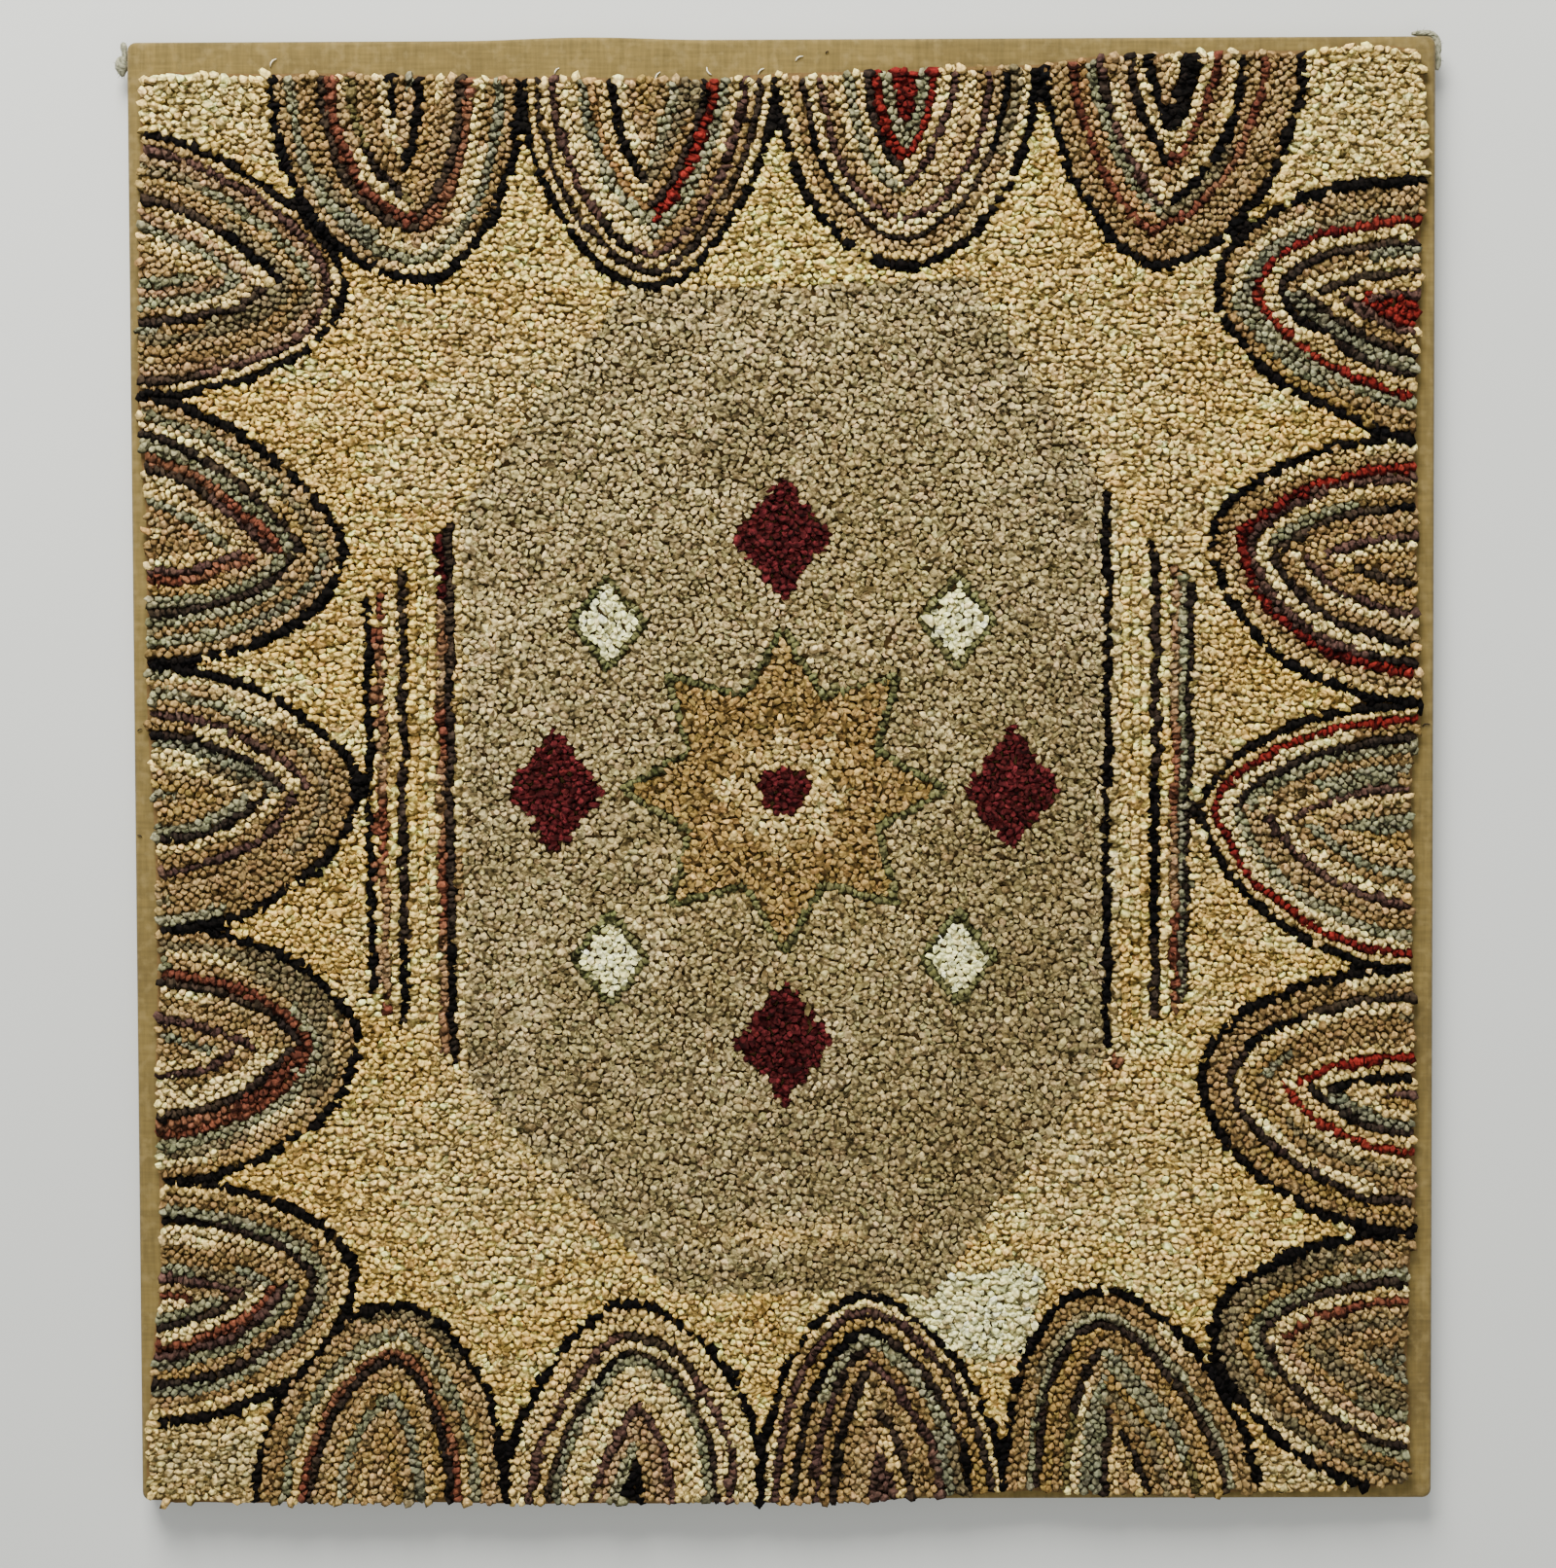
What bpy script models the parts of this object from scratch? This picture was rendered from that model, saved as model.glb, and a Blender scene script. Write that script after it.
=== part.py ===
"""Hooked rug on its linen-covered strainer, lying face up.

Row frame in metres: +X to the right and +Y up across the rug's face, +Z out of the pile.
The origin is under the middle of the mount, at the level of the cloth turned over its back.
"""

import math

import bmesh
import bpy
from mathutils import Vector, noise

# Driving sizes of the mount, measured over its linen.
MOUNT_W = 0.870
MOUNT_H = 0.978
MOUNT_D = 0.022
LINEN_T = 0.0012
GAP = 0.0003

# The linen: corner radius in plan, rounding over the arris, and the width turned over the back.
CORNER_R = 0.006
ARRIS_R = 0.003
TURNOVER = 0.032
SIDE_STEPS = 18
CORNER_STEPS = 5
ARRIS_STEPS = 3
# The cloth stands off the top bar in one long soft pucker.
PUCKER_X = -0.130
PUCKER_HALF = 0.085
PUCKER_RISE = 0.0022

# The pine strainer inside it.
BAR_W = 0.045
BAR_T = MOUNT_D - 2 * LINEN_T - 2 * GAP
BAR_LOW = LINEN_T + GAP
CROSS_W = 0.040

# The hooked pile: thickness over the foundation, rounding at its rim, and its unevenness.
RUG_T = 0.0080
RUG_BASE = MOUNT_D + GAP
RIM_LOW = 0.0022
RIM_HIGH = 0.0056
RIM_IN_LOW = 0.0014
RIM_IN_TOP = 0.0024
GRID_STEP = 0.020
LUMP = 0.0006
LUMP_SIZE = 0.045
RIM_WAVE = 0.0009
RIM_WAVE_SIZE = 0.034
RUG_CORNER_PULL = 0.0030

# How far the pile stops short of the mount's edge, by hand along each side, in millimetres:
# place along the side from the mount's middle, and inset. A negative inset hangs over the edge.
PILE_INSETS = {
    "left": (
        (-474, 4.0), (-426, 6.0), (-388, 8.5), (-333, 15.0), (-275, 15.0), (-198, 13.0),
        (-107, 15.0), (-41, 14.5), (62, 10.0), (178, 11.0), (254, 6.0), (466, 9.5),
    ),
    "right": (
        (-474, 16.0), (-441, 15.0), (-407, 17.5), (-357, 17.0), (-300, 12.5), (-189, 13.5),
        (-89, 15.0), (-6, 16.0), (44, 8.5), (104, 13.0), (170, 12.0), (220, 14.0),
        (303, 11.5), (369, 10.5), (394, 6.5), (427, 8.0), (477, 9.5),
    ),
    "top": (
        (-428, 21.0), (-340, 22.0), (-179, 25.0), (-67, 27.0), (19, 23.0), (80, 21.5),
        (129, 20.0), (171, 19.0), (212, 13.5), (302, 10.5), (351, 10.5), (390, 7.0), (415, 8.0),
    ),
    "bottom": (
        (-423, 0.0), (-275, -0.5), (-184, -1.0), (-67, -1.4), (50, -1.0), (124, 4.0),
        (166, 7.0), (215, 4.0), (265, 4.0), (342, 5.0), (411, 8.0),
    ),
}

# The rag knot at the upper left corner: centre line from the corner outwards, and radius, in
# millimetres from the mount's corner. X is to the right of it, Y above it, Z above the back.
KNOT_RINGS = (
    {"x": -3.4, "y": 0.6, "z": 15.0, "radius": 1.5},
    {"x": -3.2, "y": -2.0, "z": 15.5, "radius": 2.4},
    {"x": -2.9, "y": -6.0, "z": 15.0, "radius": 1.9},
    {"x": -3.2, "y": -9.0, "z": 14.0, "radius": 2.4},
    {"x": -5.2, "y": -11.0, "z": 13.0, "radius": 4.2},
    {"x": -5.6, "y": -14.0, "z": 12.5, "radius": 4.8},
    {"x": -5.3, "y": -17.0, "z": 12.5, "radius": 3.6},
    {"x": -5.0, "y": -20.5, "z": 12.5, "radius": 1.3},
)
# The frayed cloth at the upper right corner: a ragged ridge that follows the corner round.
FRAY_RINGS = (
    {"x": -15.0, "y": 2.4, "z": 16.5, "radius": 1.2},
    {"x": -11.0, "y": 2.6, "z": 16.0, "radius": 2.0},
    {"x": -6.0, "y": 2.9, "z": 15.5, "radius": 2.3},
    {"x": -1.4, "y": 2.2, "z": 15.0, "radius": 2.3},
    {"x": 1.9, "y": -1.3, "z": 15.0, "radius": 2.4},
    {"x": 3.0, "y": -6.0, "z": 14.5, "radius": 2.5},
    {"x": 2.9, "y": -11.0, "z": 14.0, "radius": 2.1},
    {"x": 3.1, "y": -16.0, "z": 14.0, "radius": 2.4},
    {"x": 2.6, "y": -21.0, "z": 13.5, "radius": 1.2},
)
TUFT_SIDES = 10
TUFT_SMOOTH = 3
TUFT_LUMP = 0.16


def clear_scene():
    for obj in list(bpy.data.objects):
        bpy.data.objects.remove(obj)


def make_material(name, colour, roughness, metallic=0.0):
    material = bpy.data.materials.new(name)
    material.use_nodes = True
    shader = material.node_tree.nodes["Principled BSDF"]
    shader.inputs["Base Color"].default_value = (*colour, 1.0)
    shader.inputs["Roughness"].default_value = roughness
    shader.inputs["Metallic"].default_value = metallic
    return material


def add_object(name, bm, material, smooth_angle=None):
    mesh = bpy.data.meshes.new(name)
    bmesh.ops.recalc_face_normals(bm, faces=bm.faces)
    bm.to_mesh(mesh)
    bm.free()
    mesh.materials.append(material)
    if smooth_angle is not None:
        mesh.shade_smooth()
        mesh.set_sharp_from_angle(angle=smooth_angle)
    obj = bpy.data.objects.new(name, mesh)
    bpy.context.scene.collection.objects.link(obj)
    return obj


def eased(table, place):
    """Value of a two-column table at a place, eased between its rows."""
    if place <= table[0][0]:
        return table[0][1]
    for (low, first), (high, second) in zip(table, table[1:]):
        if place <= high:
            share = (place - low) / (high - low)
            share = share * share * (3 - 2 * share)
            return first + share * (second - first)
    return table[-1][1]


def pile_inset(side, along):
    """Distance in metres from the mount's edge to the rim of the pile, with its small waves."""
    wave = noise.noise(Vector((along / RIM_WAVE_SIZE, len(side), 0.5))) * RIM_WAVE
    return eased(PILE_INSETS[side], along * 1000) / 1000 + wave


def rounded_ring(half_w, half_h, radius):
    """Points of a rounded rectangle, anticlockwise, with steps along its straight sides."""
    points = []
    corners = ((1, -1, -90), (1, 1, 0), (-1, 1, 90), (-1, -1, 180))
    arcs = []
    for sign_x, sign_y, start in corners:
        centre = Vector((sign_x * (half_w - radius), sign_y * (half_h - radius)))
        arc = []
        for step in range(CORNER_STEPS + 1):
            angle = math.radians(start + 90 * step / CORNER_STEPS)
            arc.append(centre + radius * Vector((math.cos(angle), math.sin(angle))))
        arcs.append(arc)
    for arc, following in zip(arcs, arcs[1:] + arcs[:1]):
        points += arc
        for step in range(1, SIDE_STEPS):
            points.append(arc[-1].lerp(following[0], step / SIDE_STEPS))
    return points


def pucker(point, share):
    """Rise of the linen above the top bar at a point of its outside; share fades it to the back."""
    off = (point.x - PUCKER_X) / PUCKER_HALF
    if point.y <= 0 or abs(off) >= 1:
        return 0.0
    return PUCKER_RISE * share * math.cos(off * math.pi / 2) ** 2


def linen_section():
    """The cloth's section from the face to the end of the turnover: inset, height and pucker.

    First the outside, then the inside on the way back.
    """
    rows = []
    for step in range(ARRIS_STEPS + 1):
        angle = math.pi / 2 * step / ARRIS_STEPS
        rows.append((ARRIS_R * (1 - math.sin(angle)), MOUNT_D - ARRIS_R * (1 - math.cos(angle)), 1.0))
    for step in range(ARRIS_STEPS + 1):
        angle = math.pi / 2 * step / ARRIS_STEPS
        rows.append((ARRIS_R * (1 - math.cos(angle)), ARRIS_R * (1 - math.sin(angle)), 0.4))
    rows.append((TURNOVER, 0.0, 0.0))
    rows.append((TURNOVER, LINEN_T, 0.0))
    inner_r = ARRIS_R - LINEN_T
    for step in range(ARRIS_STEPS + 1):
        angle = math.pi / 2 * step / ARRIS_STEPS
        inset = LINEN_T + inner_r * (1 - math.sin(angle))
        rows.append((inset, LINEN_T + inner_r * (1 - math.cos(angle)), 0.4))
    for step in range(ARRIS_STEPS + 1):
        angle = math.pi / 2 * step / ARRIS_STEPS
        inset = LINEN_T + inner_r * (1 - math.cos(angle))
        rows.append((inset, MOUNT_D - LINEN_T - inner_r * (1 - math.sin(angle)), 1.0))
    return rows


def skin(bm, rings):
    """Quads between closed rings of equally many points, with the first and last filled."""
    made = [[bm.verts.new(point) for point in ring] for ring in rings]
    for ring, following in zip(made, made[1:]):
        for i in range(len(ring)):
            bm.faces.new((ring[i - 1], ring[i], following[i], following[i - 1]))
    bm.faces.new(made[0])
    bm.faces.new(made[-1])


def build_linen(material):
    """One cloth over the face and sides, turned over the back: two skins joined at its end."""
    rings = []
    for inset, height, share in linen_section():
        radius = max(CORNER_R - inset, 0.0015)
        outline = rounded_ring(MOUNT_W / 2 - inset, MOUNT_H / 2 - inset, radius)
        rings.append([(p.x, p.y + pucker(p, share), height) for p in outline])
    bm = bmesh.new()
    skin(bm, rings)
    return add_object("linen_cover", bm, material, math.radians(40))


def build_bar(name, outline, material, eased_above=None):
    """A plain board from its outline in plan, with the long edges beyond a line eased."""
    bm = bmesh.new()
    face = bm.faces.new([bm.verts.new((x, y, BAR_LOW)) for x, y in outline])
    raised = bmesh.ops.extrude_face_region(bm, geom=[face])["geom"]
    top = [v for v in raised if isinstance(v, bmesh.types.BMVert)]
    bmesh.ops.translate(bm, verts=top, vec=(0, 0, BAR_T))
    if eased_above is not None:
        flat = [e for e in bm.edges if abs(e.verts[0].co.z - e.verts[1].co.z) < GAP]
        outer = [e for e in flat if min(v.co.y for v in e.verts) > eased_above]
        bmesh.ops.bevel(
            bm, geom=outer, offset=ARRIS_R - LINEN_T - GAP, segments=2,
            profile=0.5, affect="EDGES", material=-1,
        )
    return add_object(name, bm, material)


def mitred_outline(half_long, half_across):
    """One bar along the upper edge, in plan, with rounded tips and a gap left at each mitre."""
    radius = CORNER_R - LINEN_T - GAP
    trim = GAP / math.sqrt(2)
    outline = []
    for sign in (-1, 1):
        centre = Vector((sign * (half_long - radius), half_across - radius))
        tip = []
        for step in range(CORNER_STEPS + 1):
            angle = math.radians(90 - sign * 45 * step / CORNER_STEPS)
            tip.append(centre + radius * Vector((math.cos(angle), math.sin(angle))))
        tip = [Vector((p.x - sign * trim, p.y)) if i == CORNER_STEPS else p for i, p in enumerate(tip)]
        inner = Vector((sign * (half_long - BAR_W - trim), half_across - BAR_W))
        outline += [inner, *reversed(tip)] if sign < 0 else [*tip, inner]
    return outline


def build_strainer(material):
    """Four mitred bars and one cross bar, each its own board."""
    half_w = MOUNT_W / 2 - LINEN_T - GAP
    half_h = MOUNT_H / 2 - LINEN_T - GAP
    turns = (
        ("top", 0, half_w, half_h),
        ("left", 90, half_h, half_w),
        ("bottom", 180, half_w, half_h),
        ("right", 270, half_h, half_w),
    )
    for side, degrees, half_long, half_across in turns:
        outline = mitred_outline(half_long, half_across)
        bar = build_bar(f"strainer_{side}", outline, material, half_across - CORNER_R)
        bar.rotation_euler.z = math.radians(degrees)
    end = half_w - BAR_W - GAP
    half = CROSS_W / 2
    build_bar("strainer_cross", [(-end, -half), (end, -half), (end, half), (-end, half)], material)


def on_rug(u, v):
    """Plan position of a point given by its shares across and up the pile, from -1 to 1."""
    x, y = u * MOUNT_W / 2, v * MOUNT_H / 2
    left = -MOUNT_W / 2 + pile_inset("left", y)
    right = MOUNT_W / 2 - pile_inset("right", y)
    low = -MOUNT_H / 2 + pile_inset("bottom", x)
    high = MOUNT_H / 2 - pile_inset("top", x)
    at = Vector((left + (u + 1) / 2 * (right - left), low + (v + 1) / 2 * (high - low)))
    if abs(u) > 0.999 and abs(v) > 0.999:
        at -= RUG_CORNER_PULL * Vector((math.copysign(1, u), math.copysign(1, v)))
    return at


def rim_shift(at, outward):
    """Moves a rim point of the pile outward by a distance, towards the nearer sides."""
    shift = Vector((0, 0))
    if abs(at.x) > MOUNT_W / 2 - GRID_STEP * 1.6:
        shift.x = outward * math.copysign(1, at.x)
    if abs(at.y) > MOUNT_H / 2 - GRID_STEP * 1.6:
        shift.y = outward * math.copysign(1, at.y)
    return shift


def build_rug(material):
    """The rug as one thick slab: flat foundation, bulged rim and a gently lumpy pile."""
    bm = bmesh.new()
    across = round(MOUNT_W / GRID_STEP)
    up = round(MOUNT_H / GRID_STEP)
    bmesh.ops.create_grid(bm, x_segments=across, y_segments=up, size=1.0)
    for vert in bm.verts:
        at = on_rug(vert.co.x, vert.co.y)
        vert.co = (at.x, at.y, RUG_BASE)
    levels = (
        (RIM_LOW, RIM_IN_LOW),
        (RIM_HIGH - RIM_LOW, 0.0),
        (RUG_T - RIM_HIGH, -RIM_IN_TOP),
    )
    region = list(bm.faces)
    base = set(region)
    for vert in [v for v in bm.verts if v.is_boundary]:
        vert.co.xy += rim_shift(vert.co.xy, -RIM_IN_LOW)
    for rise, outward in levels:
        raised = bmesh.ops.extrude_face_region(bm, geom=region)["geom"]
        if base.isdisjoint(region):
            bmesh.ops.delete(bm, geom=region, context="FACES")
        region = [g for g in raised if isinstance(g, bmesh.types.BMFace)]
        verts = [g for g in raised if isinstance(g, bmesh.types.BMVert)]
        bmesh.ops.translate(bm, verts=verts, vec=(0, 0, rise))
        top = set(region)
        rim = [v for v in verts if any(f not in top for f in v.link_faces)]
        for vert in rim:
            vert.co.xy += rim_shift(vert.co.xy, outward)
    for vert in {v for face in region for v in face.verts}.difference(rim):
        vert.co.z += LUMP * noise.noise(vert.co / LUMP_SIZE)
    low_faces = [f for f in bm.faces if all(v.co.z < RUG_BASE + GAP for v in f.verts)]
    bmesh.ops.dissolve_faces(bm, faces=low_faces)
    return add_object("hooked_rug", bm, material, math.radians(50))


def smooth_rings(rows):
    """Rings of a tuft, with in-between rings on a smooth curve through its rows."""
    keys = [Vector((r["x"], r["y"], r["z"], r["radius"])) / 1000 for r in rows]
    rings = []
    for i in range(len(keys) - 1):
        before = keys[max(i - 1, 0)]
        after = keys[min(i + 2, len(keys) - 1)]
        for step in range(TUFT_SMOOTH):
            t = step / TUFT_SMOOTH
            rings.append(
                (
                    2 * keys[i]
                    + (keys[i + 1] - before) * t
                    + (2 * before - 5 * keys[i] + 4 * keys[i + 1] - after) * t**2
                    + (3 * keys[i] - before - 3 * keys[i + 1] + after) * t**3
                )
                / 2
            )
    rings.append(keys[-1])
    return rings


def build_tuft(name, rows, corner, material):
    """A twist of rag: rings of uneven radius along a short curve, closed at both ends."""
    keys = smooth_rings(rows)
    rings = []
    for i, key in enumerate(keys):
        centre = key.xyz + corner
        ahead = (keys[min(i + 1, len(keys) - 1)] - keys[max(i - 1, 0)]).xyz.normalized()
        side = ahead.cross(Vector((0, 0, 1))).normalized()
        rise = side.cross(ahead)
        ring = []
        for k in range(TUFT_SIDES):
            angle = 2 * math.pi * k / TUFT_SIDES
            out = side * math.cos(angle) + rise * math.sin(angle)
            lump = 1 + TUFT_LUMP * noise.noise((centre + out * key.w) * 420)
            ring.append(centre + out * key.w * lump)
        rings.append(ring)
    bm = bmesh.new()
    skin(bm, rings)
    return add_object(name, bm, material, math.radians(60))


def main():
    clear_scene()
    linen = make_material("unbleached_linen", (0.33, 0.27, 0.14), 0.9)
    pine = make_material("planed_pine", (0.62, 0.43, 0.24), 0.6)
    pile = make_material("hooked_rag_pile", (0.46, 0.36, 0.21), 0.95)
    rag = make_material("grey_green_rag", (0.20, 0.21, 0.15), 0.95)
    build_linen(linen)
    build_strainer(pine)
    build_rug(pile)
    half = Vector((MOUNT_W / 2, MOUNT_H / 2, 0))
    build_tuft("corner_knot", KNOT_RINGS, Vector((-half.x, half.y, 0)), rag)
    build_tuft("corner_fray", FRAY_RINGS, half, rag)


main()
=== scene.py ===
# %% [markdown]
# A hooked rug is a flat picture made of small rag loops. Strips of cloth are pulled up through a
# coarse foundation, row beside row, and the finished rug is here stretched on a linen-covered
# strainer. This lesson dresses the plain solids of that rug: real loops for the pile, a woven
# linen, pine bars, and the two rags at the upper corners.
# Everything is in metres, with +X to the right, +Y up the rug's face and +Z out of the pile.

# %% Load the solids
import math

import bmesh
import bpy
import numpy as np
from mathutils import Euler, Matrix, Vector
from mathutils.kdtree import KDTree


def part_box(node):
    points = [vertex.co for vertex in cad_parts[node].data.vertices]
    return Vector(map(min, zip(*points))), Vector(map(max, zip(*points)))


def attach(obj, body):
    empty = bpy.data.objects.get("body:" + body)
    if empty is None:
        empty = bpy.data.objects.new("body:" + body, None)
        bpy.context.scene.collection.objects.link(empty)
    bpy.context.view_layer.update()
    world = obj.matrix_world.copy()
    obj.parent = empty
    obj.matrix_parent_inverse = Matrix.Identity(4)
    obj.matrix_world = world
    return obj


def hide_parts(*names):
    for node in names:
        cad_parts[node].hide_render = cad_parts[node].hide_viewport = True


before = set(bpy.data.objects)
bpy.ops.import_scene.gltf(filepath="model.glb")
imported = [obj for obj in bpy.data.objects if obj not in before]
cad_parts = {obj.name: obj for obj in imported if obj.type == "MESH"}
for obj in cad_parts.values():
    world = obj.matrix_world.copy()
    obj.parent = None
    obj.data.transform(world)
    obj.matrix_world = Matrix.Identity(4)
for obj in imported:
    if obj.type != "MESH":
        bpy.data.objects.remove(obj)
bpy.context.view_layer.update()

MM = 0.001
print("solids:", sorted(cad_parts))

# %% [markdown]
# The photograph was taken almost straight on, about 1.75 m away, a touch above the middle. The
# rug lies on its back here, so the camera looks down on it and the top of the picture is +Y.
# The floor is a plain pale sheet. One soft lamp beyond the rug's upper edge gives each loop its
# shaded lower side, as the window did, and a pale sky fills the grooves.

# %% Camera, floor and light
camera_data = bpy.data.cameras.new("camera")
camera_data.sensor_fit = "AUTO"
camera_data.sensor_width = 36.0
camera_data.lens = 59.32
camera = bpy.data.objects.new("camera", camera_data)
bpy.context.scene.collection.objects.link(camera)
camera.location = (0.0045, 0.0421, 1.75)
camera.rotation_euler = Euler([math.radians(a) for a in (-1.599, 0.260, -0.219)], "XYZ")
bpy.context.scene.camera = camera


def lamp(name, place, size, watts, colour):
    """A square soft lamp that faces the middle of the rug."""
    data = bpy.data.lights.new(name, "AREA")
    data.shape = "SQUARE"
    data.size = size
    data.energy = watts
    data.color = colour
    light = bpy.data.objects.new(name, data)
    light.location = place
    light.rotation_euler = (-Vector(place)).to_track_quat("-Z", "Y").to_euler()
    bpy.context.scene.collection.objects.link(light)
    return light


lamp("window", (-0.6, 2.3, 1.8), 1.5, 232.0, (1.0, 0.98, 0.94))
lamp("room", (0.3, -0.8, 3.2), 2.2, 40.0, (1.0, 0.99, 0.97))
world = bpy.data.worlds.new("pale_room")
bpy.context.scene.world = world
world.use_nodes = True
world.node_tree.nodes["Background"].inputs["Color"].default_value = (0.99, 1.0, 1.0, 1.0)
world.node_tree.nodes["Background"].inputs["Strength"].default_value = 0.52


# %% [markdown]
# Colours are written as the hex values a picker shows and turned to the linear values that
# shaders use. One helper adds a node, sets its inputs and links what is given as a socket.

# %% Colour and node helpers
def linear(hex_code):
    """An sRGB hex colour as three linear values."""
    values = [int(hex_code[i:i + 2], 16) / 255 for i in (1, 3, 5)]
    return [v / 12.92 if v <= 0.04045 else ((v + 0.055) / 1.055) ** 2.4 for v in values]


def add_node(material, kind, settings=None, **inputs):
    """Adds a shader node. Inputs are named with _ for a space; a socket is linked, a value set."""
    tree = material.node_tree
    node = tree.nodes.new(kind)
    for key, value in (settings or {}).items():
        setattr(node, key, value)
    for key, value in inputs.items():
        sockets = [s for s in node.inputs if s.name == key.replace("_", " ") and s.enabled]
        socket = sockets[0] if sockets else node.inputs[int(key[1:])]
        if isinstance(value, bpy.types.NodeSocket):
            tree.links.new(value, socket)
        else:
            socket.default_value = value
    return node


def new_material(name, roughness, sheen=0.0):
    """A Principled material of a matte stuff, and its shader."""
    material = bpy.data.materials.new(name)
    material.use_nodes = True
    shader = material.node_tree.nodes["Principled BSDF"]
    shader.inputs["Roughness"].default_value = roughness
    shader.inputs["Specular IOR Level"].default_value = 0.2
    shader.inputs["Sheen Weight"].default_value = sheen
    return material, shader


def piece_of(name, bm):
    """Turns a finished shape into a named piece of the scene."""
    mesh = bpy.data.meshes.new(name)
    bm.to_mesh(mesh)
    bm.free()
    piece = bpy.data.objects.new(name, mesh)
    bpy.context.scene.collection.objects.link(piece)
    return piece


def give(piece, material):
    """Gives a new piece its one material."""
    piece.data.materials.append(material)


floor_material, floor_shader = new_material("matte_painted_board", 0.85)
board = add_node(floor_material, "ShaderNodeTexCoord")
mottle = add_node(floor_material, "ShaderNodeTexNoise", Vector=board.outputs["Object"], Scale=3.0)
board_tone = add_node(
    floor_material, "ShaderNodeMix", {"data_type": "RGBA"}, _0=mottle.outputs["Fac"],
    _6=(*linear("#bec0bc"), 1.0), _7=(*linear("#c4c6c3"), 1.0),
)
floor_material.node_tree.links.new(board_tone.outputs[2], floor_shader.inputs["Base Color"])
bm = bmesh.new()
bmesh.ops.create_grid(bm, x_segments=1, y_segments=1, size=6.0)
floor = piece_of("floor", bm)
floor.data.transform(Matrix.Translation((0, 0, -0.0005)))
give(floor, floor_material)

# %% [markdown]
# The pile's outline is as uneven as a hand-held rug gets when it is stitched to a straight
# mount. It is measured here from the rug's own solid, at the widest level of its rim, so that
# the loops reach exactly as far as the solid does.

# %% Outline of the pile, from its solid
RIM_LEVEL = 0.0022
LOOP_ROOM = 2.7
rug_low, rug_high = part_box("hooked_rug")
points = np.array([v.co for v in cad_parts["hooked_rug"].data.vertices]) / MM
rim = points[np.abs(points[:, 2] - (rug_low.z + RIM_LEVEL) / MM) < 0.2][:, :2]
rim = np.unique(rim.round(3), axis=0)


def edge_of(side):
    """The rim's points along one side: places along it in order, and the rim's place there."""
    across = 0 if side in ("left", "right") else 1
    reach = rim[:, across]
    limit = {"left": reach < -405, "right": reach > 405, "top": reach > 455, "bottom": reach < -470}
    own = rim[limit[side]]
    own = own[np.argsort(own[:, 1 - across])]
    return own[:, 1 - across], own[:, across]


EDGES = {side: edge_of(side) for side in ("left", "right", "top", "bottom")}


def edge(side, place):
    """The pile's rim at a place along one side, in millimetres."""
    return np.interp(place, *EDGES[side])


def room_inside(x, y):
    """How far each point is inside the pile's rim. Negative is outside it."""
    return np.minimum.reduce([
        x - edge("left", y), edge("right", y) - x, y - edge("bottom", x), edge("top", x) - y,
    ])


print("rim points:", len(rim), "pile:", rim.min(0).round(), rim.max(0).round())


# %% [markdown]
# Rag colours come from worn clothes, so no colour is one colour. Each name below is a small
# family of tones. A strip about a hand long takes one of them, and each loop differs a little.

# %% Rag colours
RAGS = {
    "black": ("#0d0a0a", "#100c0d", "#0a0708"),
    "charcoal": ("#2d2424", "#251e1e", "#352b28"),
    "olive": ("#564f38", "#625a3f"),
    "plum": ("#4a3638", "#523d3e", "#423033"),
    "brick": ("#673b33", "#57302a", "#724b3f"),
    "red": ("#691c1d", "#5c181b", "#712624"),
    "darkred": ("#4c1920", "#551c26", "#3f141a"),
    "pink": ("#a58870", "#9b7d66", "#91725c"),
    "cream": ("#e1c590", "#d4b580", "#edd2a0"),
    "tan": ("#997e5d", "#8b7151", "#a48969"),
    "ochre": ("#a4865a", "#93784d", "#af9267"),
    "orange": ("#a07a56", "#a88460"),
    "sage": ("#808073", "#777768", "#8c8a79", "#717168"),
    "grey": ("#756a59", "#6a5f4f", "#807360"),
    "green": ("#6a6a4e", "#5e6046"),
    "white": ("#fffaeb", "#fff6df"),
    "pale": ("#ffde94", "#fcd890"),
    "ground": ("#f6d08b", "#ecc47b", "#ffdb9a"),
    "beige": ("#e0c99a", "#ead4aa", "#d4bc8b"),
    "corner": ("#eed59d", "#e3c98e", "#f9e1aa"),
    "dun": ("#c7b794", "#b9a987"),
    "taupe": ("#bbaa8a", "#af9e7f", "#c6b496", "#a59579"),
    "brown": ("#b29e74", "#a9946a", "#bca87f"),
    "umber": ("#897a5e", "#948365"),
}
LIKE = {
    "cream": ("tan", "cream"), "tan": ("cream", "ochre", "sage", "grey"),
    "sage": ("grey", "sage", "tan"), "grey": ("tan", "sage", "cream"),
    "ochre": ("tan", "ochre", "cream"), "plum": ("plum", "charcoal"), "charcoal": ("charcoal", "black"),
    "olive": ("sage", "charcoal"),
}
# Dust and age have yellowed and dimmed every rag, the whitest cotton least.
AGED = np.array((0.94, 0.92, 0.645))
KEPT = {"white": (0.98, 0.94, 0.50), "pale": (0.98, 0.96, 0.66)}
RAG_TONES = {
    name: np.array([linear(h) for h in tones]) * KEPT.get(name, AGED) for name, tones in RAGS.items()
}
STRIP_LENGTH = (25, 120)
SWAPPED = 0.3
rng = np.random.default_rng(11)


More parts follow.
